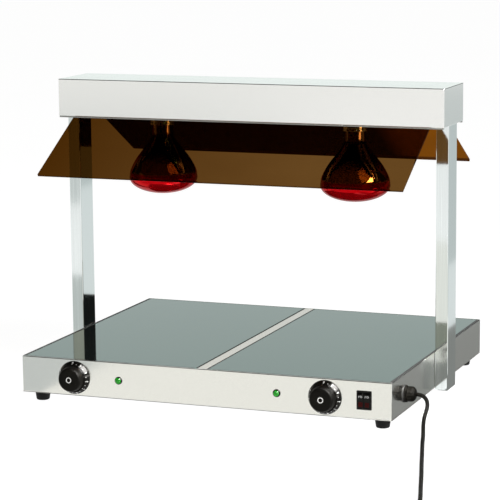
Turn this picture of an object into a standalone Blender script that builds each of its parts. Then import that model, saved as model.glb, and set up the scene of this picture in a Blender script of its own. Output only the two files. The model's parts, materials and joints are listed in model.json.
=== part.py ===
"""Heat lamp warmer: two heated glass plates in a steel base, with two red
infrared lamps and two amber shields under a canopy on two posts.

Frame: metres, +Z up, the front faces -Y, the left side is at -X. The origin is
on the surface the warmer stands on, in the middle of its outline without the
free mains lead. Sizes in y are counted from the middle of the base.
"""
import math

import bmesh
import bpy
from mathutils import Vector

GAP = 0.0003                # clearance between pieces that touch
WELD = 0.000001             # merge distance for coincident points
THROUGH = 0.010             # how far a cutter runs past the face it opens
FINE_STEPS = 28             # sides of the round pieces that show
ROUND_STEPS = 16            # sides of small and hidden round pieces

# Base
BASE_HALF_X = 0.3480
BASE_HALF_Y = 0.2885
BASE_BOTTOM = 0.0200
BASE_TOP = 0.0850
SHEET = 0.0012
FOLD_RADIUS = 0.0012
RIM = 0.0030                # steel rim round the glass
LEDGE_DEPTH = 0.0075        # ledge below the rim that carries the glass
LEDGE_WIDTH = 0.0140
LEDGE_TOP = BASE_TOP - LEDGE_DEPTH
CROSS_HALF = 0.0200         # half width of the ledge's middle bar
STRIP_HALF = 0.0093
TRAY_HEIGHT = 0.0120
FRONT_Y = -BASE_HALF_Y
CONTROL_Z = 0.0520          # height of the row of controls

# Glass plates and what heats them
SEAL_WALL = 0.0016
SEAL_FLOOR = 0.0010
SEAL_FLANGE = 0.0100
HEATER_THICKNESS = 0.0020
INSULATION_THICKNESS = 0.0200

# Controls
KNOB_X = {"left": -0.2450, "right": 0.2285}
KNOB_PROUD = 0.0248
SKIRT_RADIUS = 0.0300
GRIP_RADIUS = 0.0228
CAP_RADIUS = 0.0062
KNOB_FRONT = 0.0228         # bottom of the cap's recess, from the front wall
SHAFT_RADIUS = 0.0030
BOSS_RADIUS = 0.0047
THERMOSTAT_HALF_X = 0.0200
THERMOSTAT_HALF_Z = 0.0195
THERMOSTAT_DEPTH = 0.0260
PILOT_X = {"left": -0.1586, "right": 0.1403}
PILOT_Z = 0.0525
PILOT_BARREL = 0.0052
SWITCH_X = 0.2990
SWITCH_HALF_X = 0.0132
SWITCH_HALF_Z = 0.0165
SWITCH_PROUD = 0.0022
SWITCH_BODY_X = 0.0120
SWITCH_BODY_Z = 0.0150
SWITCH_DEPTH = 0.0240
SWITCH_RIB = 0.0004         # half of the rib between the rockers
POCKET_HALF_Z = 0.0136
ROCKER_WIDTH = 0.0102
ROCKER_HALF_Z = 0.0122
ROCKER_TILT = math.radians(9)
ROCKER_PIVOT = 0.0015       # behind the front wall's face

# Posts and canopy
POST_WIDTH = 0.0235
POST_DEPTH = 0.0530
POST_WALL = 0.0015
POST_BOTTOM = 0.0150
POST_TOP = 0.5560
POST_INNER_X = BASE_HALF_X + GAP
POST_CENTRE_X = POST_INNER_X + POST_WIDTH / 2
CANOPY_SHEET = 0.0010
CANOPY_HALF_X = POST_INNER_X + POST_WIDTH + GAP + CANOPY_SHEET
CANOPY_HALF_Y = 0.0626
CANOPY_BOTTOM = 0.4945
CANOPY_TOP = 0.5640
CANOPY_HEM = 0.0041
UNDERPLATE_HALF_Y = 0.0385
UNDERPLATE_Z = CANOPY_BOTTOM + 0.0020
UNDERPLATE_LIP = 0.0140

# Shields: the top face runs through these two points, counted in y from the middle
SHIELD_THICKNESS = 0.0050
SHIELD_HALF_X = 0.3445
SHIELD_EDGE_Y = 0.2165
SHIELD_EDGE_Z = 0.4055
SHIELD_NECK_Y = 0.0575
SHIELD_NECK_Z = CANOPY_BOTTOM
SHIELD_TUCK = 0.0180        # slant length hidden inside the canopy
SHIELD_SLOPE = math.atan2(SHIELD_NECK_Z - SHIELD_EDGE_Z, SHIELD_EDGE_Y - SHIELD_NECK_Y)

# Lamps: heights from the lowest point of the glass
LAMP_X = 0.1890
LAMP_BOTTOM = 0.3490
LAMP_RADIUS = 0.0640
LAMP_BOWL = 0.0300
LAMP_SHOULDER = [(0.0622, 0.0415), (0.0576, 0.0525), (0.0513, 0.0637), (0.0433, 0.0749),
                 (0.0345, 0.0855), (0.0268, 0.0955), (0.0214, 0.1035), (0.0193, 0.1095)]
LAMP_NECK = [(0.0187, 0.1290), (0.0180, 0.1370), (0.0150, 0.1415), (0.0118, 0.1445), (0.0118, 0.1500)]
LAMP_WALL = 0.0012
LAMP_CAP_RADIUS = 0.0131
LAMP_CAP_Z = LAMP_BOTTOM + 0.1452
LAMP_CAP_LENGTH = 0.0250
HOLDER_BOTTOM = 0.4780
HOLDER_TOP = 0.5375
HOLDER_RADIUS = 0.0225

# Feet
FOOT_X = 0.3230
FOOT_Y = 0.2586
FOOT_TOP_RADIUS = 0.0145
FOOT_BOTTOM_RADIUS = 0.0120

# Wiring
LEAD_RADIUS = 0.0025
LEAD_HOLE = 0.0050
LEAD_LOW_Z = 0.0360
LEAD_HIGH_Z = 0.5450
TERMINAL_LOW = (0.2450, -0.2260, BASE_BOTTOM + SHEET + GAP)
TERMINAL_HIGH = (0.3050, -0.2040, BASE_BOTTOM + SHEET + 0.0180)
TERMINAL_PITCH = 0.0120

# Mains lead: gland, free cord, coil and plug
GLAND_Y = -0.2120
GLAND_Z = 0.0505
GLAND_FLANGE = 0.0050
GLAND_LENGTH = 0.0205       # from the side of the base to the gland's mouth
GLAND_THREAD = 0.0080
GLAND_RADIUS = 0.0155
NUT_RADIUS = 0.0135
CORD_RADIUS = 0.0035
CORD_EXIT_X = BASE_HALF_X + GLAND_LENGTH
CORD_STEP = 0.0155
CORD_START = (CORD_EXIT_X + GAP, GLAND_Y, GLAND_Z)
CORD_ROUTE = [
    (0.3712, -0.2120, 0.0505),
    (0.3792, -0.2136, 0.0495),
    (0.3870, -0.2182, 0.0459),
    (0.3921, -0.2252, 0.0403),
    (0.3942, -0.2334, 0.0338),
    (0.3941, -0.2412, 0.0272),
    (0.3941, -0.2490, 0.0208),
    (0.3951, -0.2570, 0.0155),
    (0.3970, -0.2654, 0.0114),
    (0.3995, -0.2745, 0.0082),
    (0.4022, -0.2840, 0.0058),
    (0.4050, -0.2938, 0.0043),
    (0.4080, -0.3040, CORD_RADIUS),
    (0.4152, -0.3306, CORD_RADIUS),
    (0.4210, -0.3520, CORD_RADIUS),
    (0.4298, -0.3830, CORD_RADIUS),
    (0.4435, -0.4310, CORD_RADIUS),
    (0.4590, -0.4860, CORD_RADIUS),
    (0.4752, -0.5420, CORD_RADIUS),
    (0.4940, -0.6090, CORD_RADIUS),
    (0.5110, -0.6690, CORD_RADIUS),
    (0.5230, -0.7170, CORD_RADIUS),
]
COIL_X = 0.4993
COIL_Y = -0.8000
COIL_TURN_RADIUS = 0.0385   # middle of the turns
COIL_HALF_WIDTH = 0.0073
COIL_HEIGHT = 0.0212
CORD_END = (0.5328, -0.7592, CORD_RADIUS)
TAIL_Z = 0.0188
TAIL_Y = COIL_Y - COIL_TURN_RADIUS - CORD_RADIUS
TAIL_START_X = COIL_X - 0.0270
TAIL_END_X = COIL_X - 0.0420
PLUG_RADIUS = 0.0185
PLUG_LENGTH = 0.0440
PIN_RADIUS = 0.0024
PIN_LENGTH = 0.0190
PIN_HALF_PITCH = 0.0095

SIDES = {"left": -1, "right": 1}
FACE_FRONT = (math.radians(90), 0, 0)       # turns local +Z to -Y
FACE_RIGHT = (0, math.radians(90), 0)       # turns local +Z to +X
FACE_LEFT = (0, math.radians(-90), 0)       # turns local +Z to -X


# ---------------------------------------------------------------- tools

def clear_scene():
    """Remove every object that is in the scene."""
    for old in list(bpy.data.objects):
        bpy.data.objects.remove(old, do_unlink=True)


def make_assembly():
    """Empty that carries the whole warmer and puts its outline round the origin."""
    empty = bpy.data.objects.new("warmer", None)
    empty.location = (0, KNOB_PROUD / 2, 0)
    bpy.context.scene.collection.objects.link(empty)
    return empty


def paint(name, colour, roughness, metallic=0.0, alpha=1.0, transmission=0.0):
    """Principled material."""
    material = bpy.data.materials.new(name)
    material.use_nodes = True
    shader = material.node_tree.nodes["Principled BSDF"]
    shader.inputs["Base Color"].default_value = (*colour, 1)
    shader.inputs["Roughness"].default_value = roughness
    shader.inputs["Metallic"].default_value = metallic
    shader.inputs["Alpha"].default_value = alpha
    shader.inputs["Transmission Weight"].default_value = transmission
    return material


def add_piece(name, shape, material, origin=(0, 0, 0), rotation=(0, 0, 0)):
    """Turn a bmesh, drawn round its own origin, into a named piece of the assembly."""
    bmesh.ops.recalc_face_normals(shape, faces=shape.faces)
    mesh = bpy.data.meshes.new(name)
    shape.to_mesh(mesh)
    shape.free()
    mesh.shade_smooth()
    mesh.set_sharp_from_angle(angle=math.radians(35))
    mesh.materials.append(material)
    return add_copy(name, mesh, origin, rotation)


def add_copy(name, mesh, origin=(0, 0, 0), rotation=(0, 0, 0)):
    """Named piece on a mesh that another piece may share."""
    piece = bpy.data.objects.new(name, mesh)
    piece.location = origin
    piece.rotation_euler = rotation
    piece.parent = ASSEMBLY
    bpy.context.scene.collection.objects.link(piece)
    return piece


def draw_box(shape, low, high):
    """Add a box between two corners to a bmesh."""
    corners = bmesh.ops.create_cube(shape, size=1)["verts"]
    size = [b - a for a, b in zip(low, high)]
    middle = [(a + b) / 2 for a, b in zip(low, high)]
    bmesh.ops.scale(shape, verts=corners, vec=size)
    bmesh.ops.translate(shape, verts=corners, vec=middle)


def draw_rod(shape, centre, direction, radius, length, steps=ROUND_STEPS):
    """Add a cylinder with its middle at a point to a bmesh."""
    turn = Vector((0, 0, 1)).rotation_difference(Vector(direction)).to_matrix()
    ends = bmesh.ops.create_cone(shape, cap_ends=True, segments=steps, radius1=radius,
                                 radius2=radius, depth=length)["verts"]
    bmesh.ops.rotate(shape, verts=ends, cent=(0, 0, 0), matrix=turn)
    bmesh.ops.translate(shape, verts=ends, vec=centre)


def draw_lathe(profile, steps=ROUND_STEPS):
    """Turn (radius, height) points round Z; a profile off the axis is closed first."""
    shape = bmesh.new()
    points = [shape.verts.new((radius, 0, height)) for radius, height in profile]
    edges = [shape.edges.new(pair) for pair in zip(points, points[1:])]
    if profile[0][0] > 0:
        edges.append(shape.edges.new((points[-1], points[0])))
    bmesh.ops.spin(shape, geom=points + edges, cent=(0, 0, 0), axis=(0, 0, 1),
                   angle=2 * math.pi, steps=steps)
    bmesh.ops.remove_doubles(shape, verts=shape.verts, dist=WELD)
    return shape


def draw_section(outline, half_x):
    """Extrude a (y, z) outline along X, equally far both ways."""
    shape = bmesh.new()
    face = shape.faces.new([shape.verts.new((-half_x, y, z)) for y, z in outline])
    moved = bmesh.ops.extrude_face_region(shape, geom=[face])["geom"]
    points = [item for item in moved if isinstance(item, bmesh.types.BMVert)]
    bmesh.ops.translate(shape, verts=points, vec=(2 * half_x, 0, 0))
    return shape


def add_box_piece(name, low, high, material):
    """Box between two corners, with its own origin in its middle."""
    middle = Vector([(a + b) / 2 for a, b in zip(low, high)])
    shape = bmesh.new()
    draw_box(shape, Vector(low) - middle, Vector(high) - middle)
    return add_piece(name, shape, material, middle)


def combine(piece, label, draw, operation):
    """Join or cut a piece with what draw(bmesh) adds, in the assembly's coordinates."""
    shape = bmesh.new()
    draw(shape)
    bmesh.ops.recalc_face_normals(shape, faces=shape.faces)
    mesh = bpy.data.meshes.new("guide_" + label)
    shape.to_mesh(mesh)
    shape.free()
    guide = add_copy("guide_" + piece.name + "_" + label, mesh)
    guide.hide_render = True
    guide.display_type = "WIRE"
    change = piece.modifiers.new(label, "BOOLEAN")
    change.operation = operation
    change.solver = "EXACT"
    change.object = guide
    return guide


def cut(piece, label, draw):
    """Cut away what draw(bmesh) adds."""
    combine(piece, label, draw, "DIFFERENCE")


def join(piece, label, draw):
    """Join what draw(bmesh) adds to a piece, and return the guide that holds it."""
    return combine(piece, label, draw, "UNION")


def round_edges(piece, width, segments=2):
    """Bevel the sharp edges of a piece."""
    bevel = piece.modifiers.new("edges", "BEVEL")
    bevel.width = width
    bevel.segments = segments
    bevel.limit_method = "ANGLE"
    bevel.angle_limit = math.radians(40)


def box_of(low, high):
    """Drawing function for one box, for use with cut()."""
    return lambda shape: draw_box(shape, low, high)


def curve_through(points, step):
    """Points at an even step along a smooth curve through a route."""
    nodes = [Vector(point) for point in points]
    nodes = [2 * nodes[0] - nodes[1]] + nodes + [2 * nodes[-1] - nodes[-2]]
    dense = []
    parts = 24
    for before, start, end, after in zip(nodes, nodes[1:], nodes[2:], nodes[3:]):
        for part in range(parts):
            t = part / parts
            dense.append(0.5 * (2 * start + (end - before) * t
                                + (2 * before - 5 * start + 4 * end - after) * t ** 2
                                + (3 * start - before - 3 * end + after) * t ** 3))
    dense.append(nodes[-2])
    reach = [0.0]
    for start, end in zip(dense, dense[1:]):
        reach.append(reach[-1] + (end - start).length)
    count = round(reach[-1] / step)
    evenly = []
    index = 0
    for number in range(count + 1):
        target = reach[-1] * number / count
        while index < len(dense) - 2 and reach[index + 1] < target:
            index += 1
        share = (target - reach[index]) / (reach[index + 1] - reach[index])
        evenly.append(dense[index].lerp(dense[index + 1], share))
    return evenly


def round_corners(corners, radius, parts=4):
    """Points along straight runs whose corners are arcs."""
    nodes = [Vector(corner) for corner in corners]
    points = [nodes[0]]
    for before, corner, after in zip(nodes, nodes[1:], nodes[2:]):
        back = (before - corner).normalized()
        ahead = (after - corner).normalized()
        centre = corner + radius * (back + ahead)
        for part in range(parts + 1):
            turn = math.pi / 2 * part / parts
            points.append(centre - radius * (ahead * math.cos(turn) + back * math.sin(turn)))
    points.append(nodes[-1])
    return points


def add_tube(name, points, radius, material, bevel_resolution):
    """Round lead along a list of points."""
    curve = bpy.data.curves.new(name, "CURVE")
    curve.dimensions = "3D"
    curve.bevel_depth = radius
    curve.bevel_resolution = bevel_resolution
    curve.use_fill_caps = True
    spline = curve.splines.new("POLY")
    spline.points.add(len(points) - 1)
    for slot, point in zip(spline.points, points):
        slot.co = (*point, 1)
    curve.materials.append(material)
    tube = bpy.data.objects.new(name, curve)
    tube.parent = ASSEMBLY
    bpy.context.scene.collection.objects.link(tube)
    return tube


# ---------------------------------------------------------------- base

def make_base_housing():
    """Folded steel box, open below, with a ledge for the glass and a rim round it."""
    housing = add_box_piece("base_housing", (-BASE_HALF_X, -BASE_HALF_Y, BASE_BOTTOM),
                            (BASE_HALF_X, BASE_HALF_Y, BASE_TOP), STEEL)
    round_edges(housing, FOLD_RADIUS)
    inner_x = BASE_HALF_X - SHEET
    inner_y = BASE_HALF_Y - SHEET
    cut(housing, "inside", box_of((-inner_x, -inner_y, BASE_BOTTOM - THROUGH),
                                  (inner_x, inner_y, LEDGE_TOP - SHEET)))
    rim_x = BASE_HALF_X - RIM
    rim_y = BASE_HALF_Y - RIM
    cut(housing, "recess", box_of((-rim_x, -rim_y, LEDGE_TOP), (rim_x, rim_y, BASE_TOP + THROUGH)))

    def draw_openings(shape):
        for side in SIDES.values():
            near = side * CROSS_HALF
            far = side * (rim_x - LEDGE_WIDTH)
            draw_box(shape, (min(near, far), -rim_y + LEDGE_WIDTH, LEDGE_TOP - 2 * SHEET),
                     (max(near, far), rim_y - LEDGE_WIDTH, LEDGE_TOP + SHEET))
        for x in KNOB_X.values():
            draw_rod(shape, (x, FRONT_Y, CONTROL_Z), (0, 1, 0), BOSS_RADIUS + GAP, 2 * THROUGH)
        for x in PILOT_X.values():
            draw_rod(shape, (x, FRONT_Y, PILOT_Z), (0, 1, 0), PILOT_BARREL + GAP, 2 * THROUGH)
        draw_box(shape, (SWITCH_X - SWITCH_BODY_X - GAP, FRONT_Y - THROUGH, CONTROL_Z - SWITCH_BODY_Z - GAP),
                 (SWITCH_X + SWITCH_BODY_X + GAP, FRONT_Y + THROUGH, CONTROL_Z + SWITCH_BODY_Z + GAP))
        draw_rod(shape, (BASE_HALF_X, GLAND_Y, GLAND_Z), (1, 0, 0), GLAND_THREAD + GAP, 2 * THROUGH)
        draw_rod(shape, (BASE_HALF_X, 0, LEAD_LOW_Z), (1, 0, 0), LEAD_HOLE, 2 * THROUGH)

    cut(housing, "openings", draw_openings)


def make_bottom_plate():
    """Shallow tray that closes the base from below, with two rows of vent slots."""
    half_x = BASE_HALF_X - SHEET - GAP
    half_y = BASE_HALF_Y - SHEET - GAP
    plate = add_box_piece("bottom_plate", (-half_x, -half_y, BASE_BOTTOM),
                          (half_x, half_y, BASE_BOTTOM + TRAY_HEIGHT), GALVANISED)
    cut(plate, "inside", box_of((-half_x + SHEET, -half_y + SHEET, BASE_BOTTOM + SHEET),
                                (half_x - SHEET, half_y - SHEET, BASE_BOTTOM + TRAY_HEIGHT + THROUGH)))
    slot_half_x = 0.0025
    slot_half_y = 0.0250
    slot_pitch = 0.0200

    def draw_slots(shape):
        for side in SIDES.values():
            for number in range(-3, 4):
                x = side * BASE_HALF_X / 2 + number * slot_pitch
                draw_box(shape, (x - slot_half_x, -slot_half_y, BASE_BOTTOM - THROUGH),
                         (x + slot_half_x, slot_half_y, BASE_BOTTOM + THROUGH))

    cut(plate, "slots", draw_slots)


def make_centre_strip():
    """Steel bar on the ledge's middle bar, between the two plates."""
    half_y = BASE_HALF_Y - RIM - GAP
    strip = add_box_piece("centre_strip", (-STRIP_HALF, -half_y, LEDGE_TOP + GAP),
                          (STRIP_HALF, half_y, BASE_TOP - GAP), STEEL)
    round_edges(strip, 0.0004, 1)


def plate_limits(side, inset):
    """Low and high x of one plate's place, drawn in from all its sides."""
    near = STRIP_HALF + GAP + inset
    far = BASE_HALF_X - RIM - GAP - inset
    return sorted((side * near, side * far))


def make_hot_plate(name, side):
    """Seal, glass, heating mat and insulation of one hot plate."""
    half_y = BASE_HALF_Y - RIM - GAP
    seal_bottom = LEDGE_TOP + GAP
    low, high = plate_limits(side, 0)
    seal = add_box_piece("glass_seal_" + name, (low, -half_y, seal_bottom),
                         (high, half_y, BASE_TOP - 2 * GAP), SEAL_BLACK)
    low, high = plate_limits(side, SEAL_WALL)
    cut(seal, "pocket", box_of((low, -half_y + SEAL_WALL, seal_bottom + SEAL_FLOOR),
                               (high, half_y - SEAL_WALL, BASE_TOP + THROUGH)))
    low, high = plate_limits(side, SEAL_FLANGE)
    cut(seal, "window", box_of((low, -half_y + SEAL_FLANGE, seal_bottom - THROUGH),
                               (high, half_y - SEAL_FLANGE, BASE_TOP)))

    glass_bottom = seal_bottom + SEAL_FLOOR + GAP
    low, high = plate_limits(side, SEAL_WALL + GAP)
    glass = add_box_piece("glass_plate_" + name, (low, -half_y + SEAL_WALL + GAP, glass_bottom),
                          (high, half_y - SEAL_WALL - GAP, BASE_TOP - 0.0001), BLACK_GLASS)
    round_edges(glass, 0.0005, 1)

    heater_inset = LEDGE_WIDTH + 0.0020
    heater_top = glass_bottom - GAP
    low, high = plate_limits(side, heater_inset)
    heater = add_box_piece("heating_mat_" + name,
                           (low, -half_y + heater_inset, heater_top - HEATER_THICKNESS),
                           (high, half_y - heater_inset, heater_top), SILICONE)
    round_edges(heater, 0.0004, 1)
    slab_top = heater_top - HEATER_THICKNESS - GAP
    slab = add_box_piece("insulation_" + name,
                         (low, -half_y + heater_inset + 0.0300, slab_top - INSULATION_THICKNESS),
                         (high, half_y - heater_inset, slab_top), MINERAL_WOOL)
    round_edges(slab, 0.0020, 1)


def make_feet():
    """Tapered rubber feet with a sunk screw seat."""
    top = BASE_BOTTOM - GAP
    profile = [(0, 0.0120), (0.0050, 0.0120), (0.0050, 0), (FOOT_BOTTOM_RADIUS - 0.0015, 0),
               (FOOT_BOTTOM_RADIUS, 0.0012), (FOOT_TOP_RADIUS, top - 0.0015),
               (FOOT_TOP_RADIUS - 0.0003, top), (0, top)]
    first = None
    for end, end_sign in (("front", -1), ("rear", 1)):
        for side, side_sign in SIDES.items():
            name = "foot_" + end + "_" + side
            place = (side_sign * FOOT_X, end_sign * FOOT_Y, 0)
            if first is None:
                first = add_piece(name, draw_lathe(profile), RUBBER, place)
            else:
                add_copy(name, first.data, place)


# ---------------------------------------------------------------- controls

def make_thermostat(name, x):
    """Thermostat behind the front wall, with its threaded boss through the wall."""
    back = FRONT_Y + SHEET + GAP
    body = add_box_piece("thermostat_" + name, (x - THERMOSTAT_HALF_X, back, CONTROL_Z - THERMOSTAT_HALF_Z),
                         (x + THERMOSTAT_HALF_X, back + THERMOSTAT_DEPTH, CONTROL_Z + THERMOSTAT_HALF_Z),
                         CERAMIC)
    round_edges(body, 0.0010, 1)
    join(body, "boss", lambda shape: draw_rod(shape, (x, back - 0.0020, CONTROL_Z), (0, 1, 0),
                                              BOSS_RADIUS, 0.0060))
    cut(body, "bore", lambda shape: draw_rod(shape, (x, back, CONTROL_Z), (0, 1, 0),
                                             SHAFT_RADIUS + GAP, 0.0280))


def make_knob(name, x):
    """Skirted knob with its front cap and the thermostat's shaft, on the turning axis."""
    axis = (x, FRONT_Y, CONTROL_Z)
    clear = 0.0008
    profile = [(0, 0.0190), (SHAFT_RADIUS + GAP, 0.0190), (SHAFT_RADIUS + GAP, 0.0050),
               (0.0085, 0.0050), (0.0085, clear), (SKIRT_RADIUS, clear), (SKIRT_RADIUS, 0.0022),
               (0.0256, 0.0090), (GRIP_RADIUS + 0.0012, 0.0096), (GRIP_RADIUS, 0.0106),
               (0.0212, 0.0226), (0.0203, 0.0240), (0.0185, KNOB_PROUD), (CAP_RADIUS, KNOB_PROUD),
               (CAP_RADIUS, KNOB_FRONT), (0, KNOB_FRONT)]
    add_piece("knob_" + name, draw_lathe(profile, FINE_STEPS), BAKELITE, axis, FACE_FRONT)
    cap = [(0, KNOB_FRONT + GAP), (CAP_RADIUS - GAP, KNOB_FRONT + GAP), (CAP_RADIUS - GAP, 0.0243),
           (CAP_RADIUS - 0.0008, KNOB_PROUD - 0.0002), (0, KNOB_PROUD - 0.0002)]
    add_piece("knob_cap_" + name, draw_lathe(cap), BAKELITE, axis, FACE_FRONT)
    shaft = [(0, -0.0120), (SHAFT_RADIUS, -0.0120), (SHAFT_RADIUS, 0.0183),
             (SHAFT_RADIUS - 0.0005, 0.0187), (0, 0.0187)]
    add_piece("thermostat_shaft_" + name, draw_lathe(shaft), BRIGHT_STEEL, axis, FACE_FRONT)


def make_pilot(name, x):
    """Indicator: flanged barrel through the front wall and a domed lens in it."""
    place = (x, FRONT_Y, PILOT_Z)
    bezel = [(0.0042, 0.0020), (0.0042, -0.0180), (PILOT_BARREL, -0.0180), (PILOT_BARREL, GAP),
             (0.0070, GAP), (0.0070, 0.0010), (0.0064, 0.0018), (0.0058, 0.0020)]
    add_piece("pilot_bezel_" + name, draw_lathe(bezel), BAKELITE, place, FACE_FRONT)
    lens = [(0, -0.0100), (0.0039, -0.0100), (0.0039, 0.0023), (0.0056, 0.0023), (0.0056, 0.0036),
            (0.0042, 0.0052), (0.0020, 0.0060), (0, 0.0062)]
    add_piece("pilot_lens_" + name, draw_lathe(lens), GREEN_LENS, place, FACE_FRONT)


def make_switch():
    """Twin rocker switch: a bezel with its body behind, and two rockers at rest."""
    front = FRONT_Y - SWITCH_PROUD
    body_low = (SWITCH_X - SWITCH_BODY_X, front, CONTROL_Z - SWITCH_BODY_Z)
    body_high = (SWITCH_X + SWITCH_BODY_X, FRONT_Y + SWITCH_DEPTH, CONTROL_Z + SWITCH_BODY_Z)
    body = add_box_piece("switch_body", body_low, body_high, BAKELITE)
    bezel = join(body, "bezel", box_of((SWITCH_X - SWITCH_HALF_X, front, CONTROL_Z - SWITCH_HALF_Z),
                                       (SWITCH_X + SWITCH_HALF_X, FRONT_Y - GAP, CONTROL_Z + SWITCH_HALF_Z)))
    round_edges(bezel, 0.0006, 1)
    pocket = ROCKER_WIDTH + 2 * GAP

    def draw_pockets(shape):
        for side in SIDES.values():
            x = sorted((SWITCH_X + side * SWITCH_RIB, SWITCH_X + side * (SWITCH_RIB + pocket)))
            draw_box(shape, (x[0], front - THROUGH, CONTROL_Z - POCKET_HALF_Z),
                     (x[1], front + THROUGH, CONTROL_Z + POCKET_HALF_Z))

    cut(body, "pockets", draw_pockets)

    centre_y = 0.0045
    heel_y = 0.0036
    heel_half_z = 0.0040
    end_y = centre_y + ROCKER_HALF_Z * math.tan(ROCKER_TILT)
    back_y = 0.0050 - end_y
    outline = [(-end_y, ROCKER_HALF_Z), (-centre_y, 0), (-end_y, -ROCKER_HALF_Z), (back_y, -ROCKER_HALF_Z),
               (heel_y, -heel_half_z), (heel_y, heel_half_z), (back_y, ROCKER_HALF_Z)]
    for name, side in SIDES.items():
        x = SWITCH_X + side * (SWITCH_RIB + GAP + ROCKER_WIDTH / 2)
        rocker = add_piece("rocker_" + name, draw_section(outline, ROCKER_WIDTH / 2), BAKELITE,
                           (x, FRONT_Y + ROCKER_PIVOT, CONTROL_Z), (ROCKER_TILT, 0, 0))
        round_edges(rocker, 0.0004, 1)


# ---------------------------------------------------------------- superstructure

def make_posts():
    """Rectangular tubes beside the base, with plastic plugs in their lower ends."""
    half_y = POST_DEPTH / 2
    bore = POST_WIDTH / 2 - POST_WALL
    for name, side in SIDES.items():
        x = side * POST_CENTRE_X
        post = add_box_piece("post_" + name, (x - POST_WIDTH / 2, -half_y, POST_BOTTOM),
                             (x + POST_WIDTH / 2, half_y, POST_TOP), MIRROR_STEEL)
        round_edges(post, 0.0012, 2)
        cut(post, "bore", box_of((x - bore, -half_y + POST_WALL, POST_BOTTOM - THROUGH),
                                 (x + bore, half_y - POST_WALL, POST_TOP + THROUGH)))
        if side > 0:
            inner = x - POST_WIDTH / 2

            def draw_lead_holes(shape):
                for height in (LEAD_LOW_Z, LEAD_HIGH_Z):
                    draw_rod(shape, (inner, 0, height), (1, 0, 0), LEAD_HOLE, 2 * 0.0050)

            cut(post, "lead_holes", draw_lead_holes)
        fit = bore - GAP
        plug = add_box_piece("post_plug_" + name, (x - fit, -half_y + POST_WALL + GAP, POST_BOTTOM + 0.0002),
                             (x + fit, half_y - POST_WALL - GAP, POST_BOTTOM + 0.0100), BAKELITE)
        round_edges(plug, 0.0008, 1)


def make_canopy():
    """Folded steel canopy, hemmed along its lower edges, and the plate under it."""
    housing = add_box_piece("canopy_housing", (-CANOPY_HALF_X, -CANOPY_HALF_Y, CANOPY_BOTTOM),
                            (CANOPY_HALF_X, CANOPY_HALF_Y, CANOPY_TOP), STEEL)
    round_edges(housing, FOLD_RADIUS)
    inner_x = CANOPY_HALF_X - CANOPY_SHEET
    inner_y = CANOPY_HALF_Y - CANOPY_SHEET
    hem_y = CANOPY_HALF_Y - CANOPY_HEM
    cut(housing, "inside", box_of((-inner_x, -inner_y, CANOPY_BOTTOM + CANOPY_SHEET),
                                  (inner_x, inner_y, CANOPY_TOP - CANOPY_SHEET)))
    cut(housing, "mouth", box_of((-inner_x, -hem_y, CANOPY_BOTTOM - THROUGH),
                                 (inner_x, hem_y, CANOPY_BOTTOM + 2 * CANOPY_SHEET)))

    half_x = POST_INNER_X - GAP
    plate = add_box_piece("canopy_underplate", (-half_x, -UNDERPLATE_HALF_Y, UNDERPLATE_Z),
                          (half_x, UNDERPLATE_HALF_Y, UNDERPLATE_Z + UNDERPLATE_LIP), STEEL)
    channel_y = UNDERPLATE_HALF_Y - SHEET
    cut(plate, "channel", box_of((-half_x - THROUGH, -channel_y, UNDERPLATE_Z + SHEET),
                                 (half_x + THROUGH, channel_y, CANOPY_TOP)))

    def draw_lamp_holes(shape):
        for side in SIDES.values():
            draw_rod(shape, (side * LAMP_X, 0, UNDERPLATE_Z), (0, 0, 1), HOLDER_RADIUS + 2 * GAP,
                     2 * THROUGH, FINE_STEPS)

    cut(plate, "lamp_holes", draw_lamp_holes)


def shield_height(y):
    """Height of a shield's top face at a distance from the middle."""
    return SHIELD_NECK_Z + (SHIELD_NECK_Y - y) * math.tan(SHIELD_SLOPE)


def make_shields():
    """Sloping amber sheets in front and behind, and the rails that clamp them."""
    run = math.cos(SHIELD_SLOPE)
    rise = math.sin(SHIELD_SLOPE)
    top_y = SHIELD_NECK_Y - SHIELD_TUCK * run
    drop_y = SHIELD_THICKNESS * rise
    drop_z = SHIELD_THICKNESS * run
    sheet = [(SHIELD_EDGE_Y, SHIELD_EDGE_Z), (top_y, shield_height(top_y)),
             (top_y - drop_y, shield_height(top_y) - drop_z),
             (SHIELD_EDGE_Y - drop_y, SHIELD_EDGE_Z - drop_z)]
    wall = CANOPY_HALF_Y - CANOPY_SHEET - GAP
    leg = 0.0016
    foot_z = CANOPY_BOTTOM + CANOPY_SHEET + GAP + 0.0002
    rail_in = 0.0430
    heel = 0.0555
    lift = 2 * GAP
    rail = [(wall, foot_z), (heel, foot_z), (rail_in, shield_height(rail_in) + lift),
            (rail_in - 0.0008, shield_height(rail_in) + lift + leg), (heel, foot_z + 1.3 * leg),
            (wall - leg, foot_z + 1.3 * leg), (wall - leg, foot_z + 0.0180), (wall, foot_z + 0.0180)]
    for name, sign in (("front", -1), ("rear", 1)):
        sheet_section = [(sign * y, z) for y, z in sheet]
        rail_section = [(sign * y, z) for y, z in rail]
        piece = add_piece("shield_" + name, draw_section(sheet_section, SHIELD_HALF_X), AMBER)
        round_edges(piece, 0.0004, 1)
        add_piece("shield_rail_" + name, draw_section(rail_section, SHIELD_HALF_X), STEEL)


def bulb_outline():
    """Outer outline of the lamp's glass, from the middle of its face to its neck."""
    steps = 6
    bowl = []
    for number in range(steps + 1):
        turn = math.pi / 2 * number / steps
        bowl.append((LAMP_RADIUS * math.sin(turn), LAMP_BOWL * (1 - math.cos(turn))))
    return bowl + LAMP_SHOULDER + LAMP_NECK


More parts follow.
